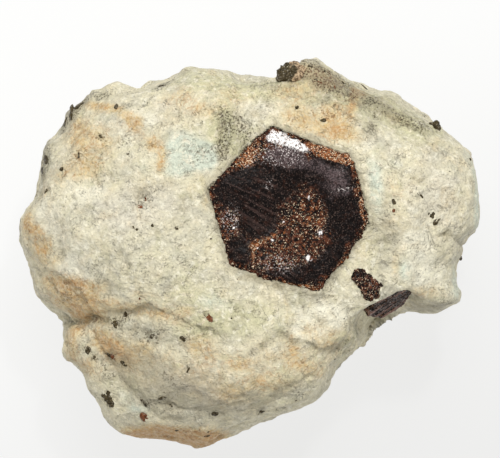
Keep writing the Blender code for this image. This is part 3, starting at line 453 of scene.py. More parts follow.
class SpeckSettings(PropertyGroup):
    """Colours of the grains and specks, and how many specks are strewn"""

    black: tone("Black", "Black grains", (0.028, 0.021, 0.010))
    brown: tone("Brown", "Red-brown grains", (0.080, 0.028, 0.012))
    grey: tone("Grey", "Worn spots of the grains", (0.30, 0.265, 0.195))
    dark_dust: tone("Dark dust", "Darker dust of the top crystal", (0.13, 0.085, 0.05))
    pale_dust: tone("Pale dust", "Paler dust of the top crystal", (0.50, 0.37, 0.23))
    black_shine: amount("Black roughness", "Roughness of the black grains", 0.30)
    brown_shine: amount("Brown roughness", "Roughness of the brown grains", 0.25)
    scattered: IntProperty(name="Scattered specks", description="Number of tiny strewn specks", default=110)
    seed: IntProperty(name="Seed", description="Start of the scatter's random numbers", default=7)


class StageSettings(PropertyGroup):
    """Size of the floor, strength of the lights and the camera's view"""

    floor_size: amount("Floor size", "Side of the floor", 3.0, "LENGTH")
    camera_distance: amount("Camera distance", "Height of the camera over the stone", 0.9, "LENGTH")
    framed_width: amount("Framed width", "Width of the picture at the stone", 0.0500, "LENGTH")
    daylight: amount("Daylight", "Strength of the even light from all round", 0.67)
    key_power: amount("Key power", "Power of the main soft light in watts", 1.24)
    sparkle_power: amount("Sparkle power", "Power of the small hard light in watts", 0.60)


# --- Shaping ---


def make_active(obj):
    """Selects this object alone."""
    bpy.ops.object.select_all(action="DESELECT")
    obj.select_set(True)
    bpy.context.view_layer.objects.active = obj


@contextmanager
def whole_mesh_in_edit_mode(obj):
    """Edit mode with all of this object's mesh selected, and object mode again at the end."""
    make_active(obj)
    bpy.ops.object.mode_set(mode="EDIT")
    bpy.ops.mesh.select_all(action="SELECT")
    yield
    bpy.ops.object.mode_set(mode="OBJECT")


def joined(objects):
    """One object of them all, which keeps the first one's name."""
    bpy.ops.object.select_all(action="DESELECT")
    for obj in objects:
        obj.select_set(True)
    bpy.context.view_layer.objects.active = objects[0]
    bpy.ops.object.join()
    return objects[0]


def copy_of_node(node, name):
    """A free copy of a solid's mesh, with its corners merged."""
    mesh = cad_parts[node].data.copy()
    mesh.materials.clear()
    obj = bpy.data.objects.new(name, mesh)
    bpy.context.scene.collection.objects.link(obj)
    with whole_mesh_in_edit_mode(obj):
        bpy.ops.mesh.remove_doubles(threshold=MERGE_DISTANCE * MM)
    return obj


def bed_of(node, growth, shift):
    """A copy of a crystal, wider all round, which closes the gap that its solid leaves in the stone."""
    low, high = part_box(node)
    factors = [1 + 2 * growth * MM / length for length in high - low]
    bed = copy_of_node(node, f"{node}_bed")
    with whole_mesh_in_edit_mode(bed):
        bpy.ops.transform.resize(value=factors, center_override=(low + high) / 2)
        bpy.ops.transform.translate(value=Vector(shift) * MM)
    return bed


def apply_modifier(obj, kind, **settings):
    """Adds a modifier and applies it."""
    make_active(obj)
    modifier = obj.modifiers.new(kind.lower(), kind)
    for key, value in settings.items():
        setattr(modifier, key, value)
    bpy.ops.object.modifier_apply(modifier=modifier.name)


def remesh(obj, size, rounds):
    """Gives an object an even mesh of this spacing in metres, smoothed this many times."""
    apply_modifier(obj, "REMESH", mode="VOXEL", voxel_size=size, adaptivity=0.0)
    apply_modifier(obj, "SMOOTH", factor=0.5, iterations=rounds)


def places_of(obj):
    """The vertices' places and normals, in millimetres."""
    count = len(obj.data.vertices)
    places = np.empty(count * 3, np.float32)
    obj.data.vertices.foreach_get("co", places)
    normals = np.empty(count * 3, np.float32)
    obj.data.vertex_normals.foreach_get("vector", normals)
    return places.reshape(-1, 3).astype(float) / MM, normals.reshape(-1, 3).astype(float)


def put_places(obj, places):
    """Moves the vertices to these places, in millimetres."""
    obj.data.vertices.foreach_set("co", (places * MM).astype(np.float32).ravel())
    obj.data.update()


def raised(places, normals, height):
    """The places moved out along their normals, and kept inside the solids' box."""
    low, high = (np.array(corner) / MM for corner in CAD_BOX)
    return np.clip(places + normals * height[:, None], low + BOX_MARGIN, high - BOX_MARGIN)


def put_attribute(obj, name, values):
    """A value for each vertex, which the finish reads."""
    attribute = obj.data.attributes.new(name, "FLOAT", "POINT")
    attribute.data.foreach_set("value", np.asarray(values, np.float32))


def tree_of(mesh, places):
    """A tree of a mesh's faces with its corners at these places, for finding points on it."""
    faces = [tuple(face.vertices) for face in mesh.polygons]
    return BVHTree.FromPolygons([Vector(place) for place in places], faces)


def hand_over(piece, finish, slot, node=None):
    """Gives a piece its finish, hangs it on the root body and hides the solid that it stands for."""
    piece.data.materials.append(finish)
    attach(piece, "root")
    if node:
        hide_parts(node)


def round_off(piece, places, finish, slot, node):
    """Puts a piece's vertices in place, shades it smooth and hands it over."""
    put_places(piece, places)
    make_active(piece)
    bpy.ops.object.shade_smooth()
    hand_over(piece, finish, slot, node)


# --- Relief ---


def smooth_step(values, low, high):
    """0 below low, 1 above high and a soft curve between."""
    share = np.clip((np.asarray(values) - low) / (high - low), 0, 1)
    return share * share * (3 - 2 * share)


def turned(x, y, degrees):
    """The same places along and across a direction."""
    cosine, sine = math.cos(math.radians(degrees)), math.sin(math.radians(degrees))
    return x * cosine + y * sine, y * cosine - x * sine


def patch_amount(patches, x, y):
    """Sum of the patches at each (x, y)."""
    total = np.zeros_like(x)
    for middle_x, middle_y, half_length, half_width, turn, strength in patches:
        along, across = turned(x - middle_x, y - middle_y, turn)
        total += strength * np.exp(-((along / half_length) ** 2) - (across / half_width) ** 2)
    return total


def line_distance(line, x, y):
    """Distance from each (x, y) to a line of points, and the side it lies on: 1 left of it, -1 right."""
    nearest = np.full_like(x, np.inf)
    side = np.ones_like(x)
    for (ax, ay), (bx, by) in zip(line, line[1:]):
        run_x, run_y = bx - ax, by - ay
        share = np.clip(((x - ax) * run_x + (y - ay) * run_y) / (run_x**2 + run_y**2), 0, 1)
        off_x, off_y = x - ax - share * run_x, y - ay - share * run_y
        distance = np.hypot(off_x, off_y)
        closer = distance < nearest
        nearest = np.where(closer, distance, nearest)
        side = np.where(closer, np.sign(run_x * off_y - run_y * off_x), side)
    return nearest, side


def depth_inside(outline, x, y):
    """Distance of each (x, y) inside a closed outline, negative outside."""
    inside = np.zeros(x.shape, bool)
    closed = list(outline) + [outline[0]]
    for (ax, ay), (bx, by) in zip(closed, closed[1:]):
        crosses = (ay > y) != (by > y)
        with np.errstate(divide="ignore", invalid="ignore"):
            inside ^= crosses & (x < (bx - ax) * (y - ay) / (by - ay) + ax)
    nearest = line_distance(closed, x, y)[0]
    return np.where(inside, nearest, -nearest)


def rim_depth(node, places):
    """How far each place lies inside a crystal's outline, seen from above."""
    corners = [vertex.co.to_2d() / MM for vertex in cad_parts[node].data.vertices]
    outline = [tuple(corners[index]) for index in geometry.convex_hull_2d(corners)]
    return depth_inside(outline, places[:, 0], places[:, 1])


def sampled(function, places):
    """The function's value at each place."""
    return np.array([function(Vector(place)) for place in places])


def soft_noise(places, size, octaves=3, shift=0.0):
    """Smooth noise of a size, from about -1 to 1. A shift gives other noise of the same kind."""
    return sampled(lambda place: noise.fractal(place, 1.0, 2.0, octaves), (places + shift) / size)


def chips(places, size, sharpness=4.0, shift=0.0):
    """Height of tilted broken chips of a size, from about -1 to 1. A shift gives others of the same kind."""

    def chip(place):
        distances, middles = noise.voronoi(place)
        tilt = noise.cell_vector(middles[0] * 7.3) * 2 - Vector((1, 1, 1))
        edge = min(1.0, (distances[1] - distances[0]) * sharpness)
        return edge * (place - middles[0]).dot(tilt)

    return sampled(chip, (places + shift) / size)


def facets(places, settings, fine_share):
    """Height of a granular break: facets of the settings' size with finer ones between."""
    coarse = chips(places, settings.facet_size, FACET_SHARPNESS)
    fine = chips(places, FINE_FACET_SIZE, FACET_SHARPNESS, FINE_FACET_SHIFT)
    return settings.facet_height * (coarse + fine_share * fine)


# --- Finishes ---


class Finish:
    """A material being made: adds its nodes and links them."""

    def __init__(self, name):
        self.material = bpy.data.materials.new(name)
        self.material.use_nodes = True
        self.tree = self.material.node_tree
        self.shader = self.tree.nodes["Principled BSDF"]
        self.place = self.node("TexCoord").outputs["Object"]

    def feed(self, socket, value):
        """Links a socket to another, or sets its value."""
        if isinstance(value, bpy.types.NodeSocket):
            self.tree.links.new(value, socket)
        elif socket.type == "RGBA":
            socket.default_value = (*value, 1)
        else:
            socket.default_value = value

    def set(self, **values):
        """Sets the shader's sockets: base_color is Base Color."""
        for key, value in values.items():
            self.feed(self.shader.inputs[key.replace("_", " ").title().replace("Ior", "IOR")], value)

    def node(self, kind, inputs=(), **settings):
        """A new node with these settings, and with its inputs fed, each by its name or number."""
        node = self.tree.nodes.new(f"ShaderNode{kind}")
        for key, value in settings.items():
            setattr(node, key, value)
        for key, value in dict(inputs).items():
            self.feed(node.inputs[key], value)
        return node

    def math(self, operation, *values):
        """A sum of numbers."""
        return self.node("Math", enumerate(values), operation=operation).outputs[0]

    def vector(self, operation, *values):
        """A sum of vectors."""
        return self.node("VectorMath", enumerate(values), operation=operation).outputs[0]

    def scaled(self, vector, factor):
        """A vector times a number."""
        return self.node("VectorMath", {0: vector, "Scale": factor}, operation="SCALE").outputs[0]

    def times(self, first, second):
        """The product of two numbers."""
        return self.math("MULTIPLY", first, second)

    def larger(self, first, second):
        """The larger of two numbers."""
        return self.math("MAXIMUM", first, second)

    def folded(self, value):
        """How far a noise is from its middle: it is 0 along lines that wander like cracks."""
        return self.math("ABSOLUTE", self.math("SUBTRACT", value, 0.5))

    def coordinate(self, axis):
        """One of the object coordinates, in metres."""
        return self.node("SeparateXYZ", {0: self.place}).outputs[axis]

    def attribute(self, name):
        """An amount that is painted on the vertices."""
        return self.node("Attribute", attribute_name=name).outputs["Fac"]

    def noise(self, size, detail=3.0, roughness=0.5, distortion=0.0, output="Fac"):
        """Noise with features of this size in millimetres."""
        inputs = {"Vector": self.place, "Scale": 1 / (size * MM), "Detail": detail, "Roughness": roughness}
        return self.node("TexNoise", {**inputs, "Distortion": distortion}).outputs[output]

    def warped(self, size, reach):
        """Object coordinates shifted about by noise of this size, up to the reach, both in millimetres."""
        way = self.vector("SUBTRACT", self.noise(size, 4.0, output="Color"), (0.5, 0.5, 0.5))
        return self.vector("ADD", self.place, self.scaled(way, 2 * reach * MM))

    def spread(self, value, low, high, bottom=0.0, top=1.0):
        """The value from low to high, softly mapped to bottom to top."""
        values = (value, low, high, bottom, top)
        return self.node("MapRange", enumerate(values), interpolation_type="SMOOTHSTEP").outputs[0]

    def mix(self, share, first, second, blend="MIX"):
        """Two colours mixed."""
        node = self.node("Mix", data_type="RGBA", blend_type=blend)
        self.feed(node.inputs["Factor"], share)
        colours = [socket for socket in node.inputs if socket.type == "RGBA"]
        self.feed(colours[0], first)
        self.feed(colours[1], second)
        return next(socket for socket in node.outputs if socket.type == "RGBA")

    def broken(self, name, size, low=0.35, high=0.75, detail=5.0, reach=0.7):
        """A painted amount with its edge broken up by noise."""
        ragged = self.math("MULTIPLY_ADD", self.noise(size, detail, 0.65), reach, -0.5 * reach)
        return self.spread(self.math("ADD", self.attribute(name), ragged), low, high)

    def bump(self, height, distance, strength=1.0, normal=None):
        """A normal bent by a height, with its depth in millimetres."""
        node = self.node("Bump", {"Strength": strength, "Distance": distance * MM, "Height": height})
        if normal:
            self.feed(node.inputs["Normal"], normal)
        return node.outputs[0]

    def facets(self, size, tilt, normal, place=None):
        """A normal that differs from cell to cell, as on a granular break. The size is in millimetres."""
        cells = self.node("TexVoronoi", {"Vector": place or self.place, "Scale": 1 / (size * MM)})
        lean = self.scaled(self.vector("SUBTRACT", cells.outputs["Color"], (0.5, 0.5, 0.5)), tilt)
        return self.vector("NORMALIZE", self.vector("ADD", normal, lean))


def painted(f, name):
    """How much of a patch's colour shows, with the patch's edge broken up."""
    *edge, share = PATCH_EDGES[name]
    return f.times(f.broken(name, *edge), share)


def hairlines(f, size, width, strength):
    """Thin dark cracks that wander over the stone and fade in and out."""
    lines = f.spread(f.folded(f.noise(size, 5.0, 0.55, 0.8)), 0.001, width, strength, 0.0)
    return f.times(lines, f.spread(f.noise(0.5 * size, 3.0), 0.50, 0.62))


def speckle_amount(f):
    """How dark the stone's fine dust is: dense over mica, in loose clusters elsewhere, with thin cracks."""
    clusters = f.spread(f.noise(2.2, 4.0, 0.6, 0.5), 0.44, 0.66, -0.02, 0.115)
    mica = f.math("MINIMUM", f.attribute("mica"), 1.6)
    density = f.math("MINIMUM", f.math("MULTIPLY_ADD", mica, 0.11, clusters), 0.15)
    fine = f.math("ADD", f.noise(0.20, 3.0, 0.7), density)
    grain = f.math("ADD", f.noise(0.55, 3.0, 0.6, 0.6), f.times(density, 0.7))
    dots = f.larger(f.spread(fine, 0.66, 0.75, 0.0, 1.0), f.spread(grain, 0.69, 0.78, 0.0, 0.8))
    dots = f.times(dots, f.spread(mica, 0.1, 1.0, 0.55, 0.95))
    return f.larger(dots, f.larger(hairlines(f, 3.4, 0.008, 0.50), hairlines(f, 1.5, 0.016, 0.42)))


def stained(f, colour, colours):
    """A colour with iron stain over it: a loose film, and painted tan film, rusty veins and rusty grains."""
    loose_stain = f.spread(f.noise(4.5, 6.0, 0.65, 0.6), 0.52, 0.74, 0.0, 0.38)
    grainy = f.spread(f.noise(0.40, 5.0, 0.7), 0.36, 0.62, 0.45, 1.0)
    stain = f.times(f.broken("stain", 1.2, -0.10, 1.10, 6.0, 1.8), grainy)
    colour = f.mix(f.larger(stain, loose_stain), colour, colours.tan)
    veins = f.spread(f.folded(f.noise(2.3, 6.0, 0.62, 1.0)), 0.004, 0.040, 0.60, 0.0)
    veins = f.times(veins, f.broken("stain", 2.0, 0.05, 0.75, 4.0, 1.0))
    colour = f.mix(f.times(veins, grainy), colour, colours.rust)
    rust = f.broken("stain", 0.50, 0.60, 1.60, 6.0, 1.6)
    return f.mix(f.times(rust, f.times(grainy, 0.65)), colour, colours.rust)


def stone_finish(colours):
    """Sugary feldspar and quartz, with iron stains, pale green and olive patches, fine dark dust, and painted
    shade in the hollows and on the lower lobe.
    """
    f = Finish("pale_stone")
    colour = f.mix(f.spread(f.noise(3.2, 5.0, 0.65, 0.4), 0.34, 0.58), colours.grey, colours.cream)
    # Quartz grey patches, partly painted shade on the lower lobe
    colour = f.mix(painted(f, "grey"), colour, colours.grey)
    loose_olive = f.spread(f.noise(1.9, 6.0, 0.7, 0.3), 0.52, 0.68, 0.0, 0.50)
    colour = f.mix(f.larger(painted(f, "olive"), loose_olive), colour, colours.olive)
    colour = f.mix(painted(f, "lilac"), colour, colours.lilac)
    colour = f.mix(painted(f, "green"), colour, colours.green)
    white_grains = f.spread(f.noise(0.60, 5.0, 0.65), 0.50, 0.64)
    colour = f.mix(f.times(white_grains, 0.70), colour, colours.chalk)
    colour = f.mix(painted(f, "chalk"), colour, colours.chalk)
    colour = stained(f, colour, colours)
    # Painted shade of the hollows, broken up by noise
    uneven = f.spread(f.noise(0.50, 4.0, 0.7), 0.40, 0.62, 0.10, 0.55)
    # Grime and painted shade: the darker patches and the hollows
    colour = f.mix(f.larger(painted(f, "dirt_and_shade"), f.times(f.attribute("hollow_shade"), uneven)), colour, colours.dirt_and_shade)
    colour = f.mix(painted(f, "mica"), colour, colours.mica)
    speckles = speckle_amount(f)
    in_stain = f.spread(f.attribute("stain"), 0.3, 1.0, 0.0, 0.8)
    colour = f.mix(speckles, colour, f.mix(in_stain, colours.speckle, colours.rusty_speckle))
    colour = f.mix(1.0, colour, f.spread(f.noise(0.22, 3.0, 0.7), 0.25, 0.75, 0.84, 1.08), "MULTIPLY")
    ridges = f.bump(f.folded(f.noise(1.1, 5.0, 0.6, 0.4)), 0.60)
    grain = f.math("SUBTRACT", f.noise(0.32, 4.0, 0.7), f.times(speckles, 0.5))
    normal = f.facets(0.75, 0.20, f.bump(grain, 0.20, normal=ridges), f.warped(0.9, 0.35))
    roughness = f.spread(f.noise(0.5), 0.3, 0.7, 0.38, 0.75)
    f.set(base_color=colour, roughness=roughness, specular_ior_level=0.40, normal=normal)
    return f.material


def crystal_grains(f, colours, orange):
    """Colour of a granular break: red-brown, black, orange and a few pale grains that partly stand for
    painted glints, warmer where painted.
    """
    grains = f.mix(f.spread(f.noise(0.45, 5.0, 0.7), 0.40, 0.60), colours.dark, colours.red)
    warmth = f.math("MULTIPLY_ADD", orange, 0.13, -0.055)
    flecks = f.math("ADD", f.noise(0.28, 4.0, 0.75, 0.6), warmth)
    grains = f.mix(f.spread(flecks, 0.52, 0.60), grains, colours.orange)
    black_grains = f.spread(f.noise(0.50, 5.0, 0.75), 0.45, 0.51, 0.94, 0.0)
    grains = f.mix(f.times(black_grains, f.spread(orange, 0.2, 1.0, 1.0, 0.6)), grains, colours.dark)
    # Pale grains, which partly stand for painted glints
    clustered = f.math("MULTIPLY_ADD", f.noise(0.9, 3.0, 0.6), 0.16, f.noise(0.15, 2.0, 0.8))
    pale = f.spread(f.math("MULTIPLY_ADD", orange, 0.05, clustered), 0.70, 0.75)
    return f.mix(pale, grains, colours.tan)


def crystal_plate(f, colours, sheen, striation, line_colour):
    """Colour of a smooth plate: nearly black, with a little red, fine dust, growth lines and some painted
    sheen.
    """
    tiny = f.noise(0.15, 2.0, 0.8)
    plate = f.mix(f.spread(f.noise(0.55, 6.0, 0.75), 0.50, 0.74, 0.0, 0.30), colours.dark, colours.red)
    plate = f.mix(f.spread(tiny, 0.56, 0.68, 0.0, 0.55), plate, colours.dust)
    lines = f.spread(f.attribute("lines"), 0.05, 0.55)
    plate = f.mix(f.times(lines, striation), plate, line_colour)
    return f.mix(f.times(sheen, f.spread(tiny, 0.42, 0.62, 0.20, 1.25)), plate, colours.sheen)


def crystal_finish(name, colours, line_colour, gloss=0.06, striation=0.16):
    """Dark glossy plates that break into red-brown, orange and grey grains, with painted sparkle, glints and
    sheen.
    """
    f = Finish(name)
    granular, sheen, sparkle, orange, band = (f.broken(key, *edge) for key, edge in SURFACE_EDGES.items())
    grains = crystal_grains(f, colours, orange)
    colour = f.mix(granular, crystal_plate(f, colours, sheen, striation, line_colour), grains)
    # Painted sparkle: light grey dots that stand for glints
    sparkle_grains = f.times(f.spread(f.noise(0.19, 2.0, 0.8), 0.57, 0.62), sparkle)
    colour = f.mix(f.times(sparkle_grains, 0.95), colour, colours.sparkle)
    # Painted glints: bright dots of reflected light painted into the colour
    white_grains = f.times(f.spread(f.noise(0.20, 3.0, 0.8), 0.40, 0.50), band)
    colour = f.mix(f.times(white_grains, 0.95), colour, colours.glint)
    clusters = f.spread(f.noise(0.9, 4.0, 0.6), 0.38, 0.62, 0.25, 1.0)
    rough_parts = f.larger(f.times(granular, clusters), f.larger(sparkle, f.times(sheen, 0.6)))
    face = f.node("NewGeometry").outputs["Normal"]
    normal = f.bump(f.noise(0.30, 5.0, 0.7), 0.15, f.math("MULTIPLY_ADD", granular, 0.6, 0.10), face)
    normal = f.facets(0.17, f.math("MULTIPLY_ADD", rough_parts, 0.75, 0.04), normal)
    roughness = f.spread(f.noise(0.35), 0.35, 0.65, 0.14, 0.36)
    f.set(base_color=colour, roughness=roughness, specular_ior_level=gloss, normal=normal)
    return f.material


def grain_finish(name, colour, roughness, colours):
    """A small dark grain, uneven in tone, with grey spots and facets, and brown dust where painted on."""
    f = Finish(name)
    shade = f.mix(f.spread(f.noise(0.25, 4.0, 0.7), 0.35, 0.70), colour, [3.0 * part for part in colour])
    shade = f.mix(f.spread(f.noise(0.22, 3.0, 0.8), 0.55, 0.64, 0.0, 0.80), shade, colours.grey)
    dust = f.mix(f.spread(f.noise(0.30, 4.0, 0.7), 0.42, 0.58), colours.dark_dust, colours.pale_dust)
    shade = f.mix(f.broken("dust", 0.40, 0.35, 0.65, 5.0, 0.7), shade, dust)
    normal = f.facets(0.22, 0.6, f.node("NewGeometry").outputs["Normal"])
    f.set(base_color=shade, roughness=roughness, specular_ior_level=0.07, normal=normal)
    return f.material


# --- Stone ---


def stone_relief(places, settings):
    """Height of the chips, ridges, grain and pits over the lumpy stone."""
    height = np.zeros(len(places))
    for size, share, shift in STONE_CHIPS:
        height += share * settings.chip_height * chips(places, size, shift=shift)
    height -= settings.ridge_height * np.abs(soft_noise(places, RIDGE_SIZE, 3, 47.0))
    height += settings.grain_height * soft_noise(places, GRAIN_SIZE, 2)
    return height - PIT_DEPTH * smooth_step(soft_noise(places, PIT_SIZE, 2, 17.0), 0.35, 0.75)


def front_share(places):
    """1 on the stone's front, fading raggedly to 0 down its sides."""
    return smooth_step(places[:, 2] + FRONT_RAGGEDNESS * soft_noise(places, 3.0, 3, 71.0), *FRONT_EDGE)


def placed_relief(places):
    """Height of the named cracks and ledges of the front."""
    x, y = places[:, 0], places[:, 1]
    wander = LINE_WANDER * soft_noise(places, 1.1, 3, 5.0)
    height = np.zeros_like(x)
    for line, half_width, depth in CRACKS:
        distance = line_distance(line, x + wander, y - wander)[0]
        height -= depth * np.exp(-((distance / half_width) ** 2))
    for line, low_side, reach, drop in LEDGES:
        distance, side = line_distance(line, x + wander, y + wander)
        height -= np.where(side == low_side, drop * np.exp(-distance / reach), 0.0)
    return height * front_share(places)


def outline_relief(places, normals):
    """Height of the dents and swellings of the stone's outline, as seen from above."""
    sideways = smooth_step(1 - np.abs(normals[:, 2]), 0.25, 0.75)
    return -sideways * patch_amount(OUTLINE_DENTS, places[:, 0], places[:, 1])


def sink_under(places, node, sink):
    """Lowers the stone's places under the face of a crystal, so that its rim shows."""
    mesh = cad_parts[node].data
    corners = np.array([vertex.co for vertex in mesh.vertices]) / MM
    tree = tree_of(mesh, corners)
    low, high = corners.min(axis=0), corners.max(axis=0)
    near = np.all((places[:, :2] > low[:2]) & (places[:, :2] < high[:2]), axis=1)
    near &= places[:, 2] > low[2]
    depth = rim_depth(node, places)
    near &= depth > SINK_RAGGEDNESS * soft_noise(places, SINK_RAGGED_SIZE, 2, 61.0)
    sinks = sink + INNER_SINK * smooth_step(depth, 0.3, 1.2)
    for index in np.flatnonzero(near):
        x, y, z = places[index]
        face = tree.ray_cast(Vector((x, y, high[2] + 1)), Vector((0, 0, -1)))[0]
        if face is not None:
            places[index, 2] = min(z, face.z - sinks[index])


def patches_on(patches, places):
    """Sum of the patches over the stone, each fading below the height of its own middle."""
    x, y, z = places.T
    ragged = z + FADE_RAGGEDNESS * soft_noise(places, FADE_RAGGED_SIZE, 3, 71.0)
    total = np.zeros(len(places))
    for patch in patches:
        off = np.hypot(x - patch[0], y - patch[1])
        middle = z[off < off.min() + 0.4].max()
        reach = FADE_REACH_SHARE * max(patch[2], patch[3]) + FADE_REACH
        total += patch_amount([patch], x, y) * np.exp(-(np.clip((middle - ragged) / reach, 0, None) ** 2))
    return total


def paint_stone(stone, places, hollows):
    """Writes the stone's stains, patches and the painted shade of its hollows to its vertices."""
    put_attribute(stone, "hollow_shade", hollows)
    share, extra, strength = HALO
    halos = [(x, y, share * half_length + extra, share * half_width + extra, turn, strength)
             for x, y, half_length, half_width, turn in BLACK_SPECKS + BROWN_SPECKS]
    patches = {"stain": ORANGE_STAINS + WIDE_STAINS, "green": GREEN_PATCHES, "mica": MICA_PATCHES + halos,
               "chalk": CHALK_PATCHES, "grey": GREY_AND_SHADE_PATCHES, "dirt_and_shade": DIRT_AND_SHADE_PATCHES, "olive": OLIVE_PATCHES,
               "lilac": LILAC_PATCHES}
    for name, entries in patches.items():
        total = patches_on(entries, places)
        if name == "dirt_and_shade":
            near = np.exp(-((rim_depth(HEXAGON, places) / CRYSTAL_EDGE_DIRT_WIDTH) ** 2))
            total += CRYSTAL_EDGE_DIRT * near * front_share(places)
        put_attribute(stone, name, total)


class SPECIMEN_OT_stone(Operator):
    """Make the pale broken stone that holds the crystals"""

    bl_idname = "specimen.stone"
    bl_label = "Stone"

    def execute(self, context):
        settings = context.scene.specimen_stone
        stone = copy_of_node("matrix", "pale_stone")
        beds = [bed_of(node, *bed) for node, bed in BEDS.items()]
        beds += [bed_of(node, *GRAIN_BED) for node in GRAIN_NODES]
        joined([stone, *beds])
        remesh(stone, settings.mesh_size * (1), 8)
        places, normals = places_of(stone)
        fine_height = stone_relief(places, settings) + placed_relief(places)
        lumps = settings.lump_height * soft_noise(places, LUMP_SIZE)
        places = raised(places, normals, fine_height + lumps + outline_relief(places, normals))
        for node, sink in SINKS.items():
            sink_under(places, node, sink)
        # The hollows of the fine relief get painted shade
        paint_stone(stone, places, smooth_step(-fine_height, *HOLLOW_SHADE_DEPTHS))
        round_off(stone, places, stone_finish(settings), "matrix_stone", "matrix")
        return {"FINISHED"}


# --- Crystals and grains ---


def paint_crystal(crystal, places, **amounts):
    """Writes to the vertices how much of each kind of surface a crystal shows there."""
    for name in (*SURFACE_EDGES, "lines"):
        put_attribute(crystal, name, amounts.get(name, 0.0) * np.ones(len(places)))


def striations(places):
    """Fine growth lines that fan out over the large plate, from -1 to 1."""
    x, y = places[:, 0] - STRIATION_SOURCE[0], places[:, 1] - STRIATION_SOURCE[1]
    angle, radius = np.arctan2(y, x), np.hypot(x, y)
    lines = np.stack([angle * 70 + 0.5 * np.sin(radius * 0.4), radius * 0.22, np.zeros_like(x)], axis=1)
    return soft_noise(lines, 1.0, 3)


def edge_striations(places):
    """Coarse growth lines along the crystal that looks out of the notch, from -1 to 1."""
    along, across = turned(places[:, 0], places[:, 1], EDGE_STRIATION_TURN)
    return soft_noise(np.stack([along * 0.35, across * 3.2, places[:, 2] * 3.2], axis=1), 1.0, 3)


def level_of(places, x, y):
    """Height at each (x, y) of the plane that fits the places best."""
    rows = np.column_stack([places[:, :2], np.ones(len(places))])
    slope_x, slope_y, start = np.linalg.lstsq(rows, places[:, 2], rcond=None)[0]
    return slope_x * x + slope_y * y + start


def piece_of_node(node, size, rounds):
    """A remeshed copy of a crystal or grain, with its vertices' places and normals."""
    piece = copy_of_node(node, f"{node}_piece")
    remesh(piece, size * MM, rounds)
    return piece, *places_of(piece)


class SPECIMEN_OT_hexagon(Operator):
    """Make the large hexagonal crystal plate"""

    bl_idname = "specimen.hexagon"
    bl_label = "Hexagonal crystal"

    def execute(self, context):
        settings = context.scene.specimen_crystals
        crystal = copy_of_node(HEXAGON, "hexagonal_crystal")
        cut = (0, 0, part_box(HEXAGON)[1].z - PLATE_DEPTH * MM)
        with whole_mesh_in_edit_mode(crystal):
            bpy.ops.mesh.bisect(plane_co=cut, plane_no=(0, 0, -1), use_fill=True, clear_outer=True)
        remesh(crystal, settings.mesh_size * (1), 6)
        places, normals = places_of(crystal)
        x, y = places[:, 0], places[:, 1]
        up = smooth_step(normals[:, 2], 0.2, 0.8)
        places[:, 2] -= FLATTENED * up * (places[:, 2] - level_of(places[up > 0.9], x, y))
        ragged = rim_depth(HEXAGON, places) + 0.35 * soft_noise(places, 0.7, 3, 21.0)
        ragged += 0.50 * soft_noise(places, 2.4, 2, 27.0)
        rim = 1 - smooth_step(ragged, 0.0, WARM_RIM_WIDTH)
        smooth = np.clip(patch_amount(SMOOTH_PLATES, x, y), 0, 1) * (1 - rim)
        # Where the painted glints go, kept off the rim
        band = patch_amount(GLINT_BAND, x, y) * (1 - rim)
        full, gone = STRIATION_EDGE
        lines = striations(places) * smooth_step(-x, -gone, -full)
        warm_rim = WARM_RIM_ORANGE * rim * np.clip(soft_noise(places, 1.6, 2, 9.0), 0, 1)
        paint_crystal(crystal, places, granular=1 - smooth, lines=lines,
                      sheen=patch_amount(SHEEN_PATCHES, x, y) * (1 - rim),
                      sparkle=patch_amount(SPARKLE_PATCHES, x, y),
                      orange=patch_amount(ORANGE_PATCHES, x, y) + warm_rim,
                      band=band + patch_amount(GLINT_SPOTS, x, y))
        height = (1 - smooth) * facets(places, settings, 0.5)
        height += smooth * STRIATION_HEIGHT * lines + 0.05 * soft_noise(places, 1.6, 3)
        for _, middle_y, *_ in GLINT_BAND[:2]:
            slope = np.clip(y - middle_y, -BAND_REACH, BAND_REACH) / 2
            height -= up * BAND_SLOPE * np.clip(band, 0, 1) * slope
        height += 0.30 * soft_noise(places, 0.8, 3, 13.0) * (1 - up)
        finish = crystal_finish("red_brown_crystal", settings, settings.line)
        round_off(crystal, raised(places, normals, height), finish, "red_brown_crystal", HEXAGON)
        return {"FINISHED"}


class SPECIMEN_OT_small_crystals(Operator):
    """Make the two smaller red-brown crystals"""

    bl_idname = "specimen.small_crystals"
    bl_label = "Small crystals"

    def execute(self, context):
        settings = context.scene.specimen_crystals
        granular_finish = crystal_finish("granular_crystal", settings, settings.line)
        striated_finish = crystal_finish("striated_crystal", settings, settings.edge_line, 0.08, 0.6)
        kinds = {"small_crystal": (1.0, granular_finish), "edge_crystal": (0.55, striated_finish)}
        for node, (granular, finish) in kinds.items():
            crystal, places, normals = piece_of_node(node, SMALL_CRYSTAL_MESH, 4)
            striated = 1 - granular
            lines = striated * edge_striations(places)
            paint_crystal(crystal, places, granular=0.9 * granular, sparkle=0.30 + 0.3 * striated,
                          orange=0.25 + 0.5 * striated, lines=3.2 * lines)
            height = granular * facets(places, settings, 0.6) + EDGE_STRIATION_HEIGHT * lines
            round_off(crystal, raised(places, normals, height), finish, "red_brown_crystal", node)
        return {"FINISHED"}


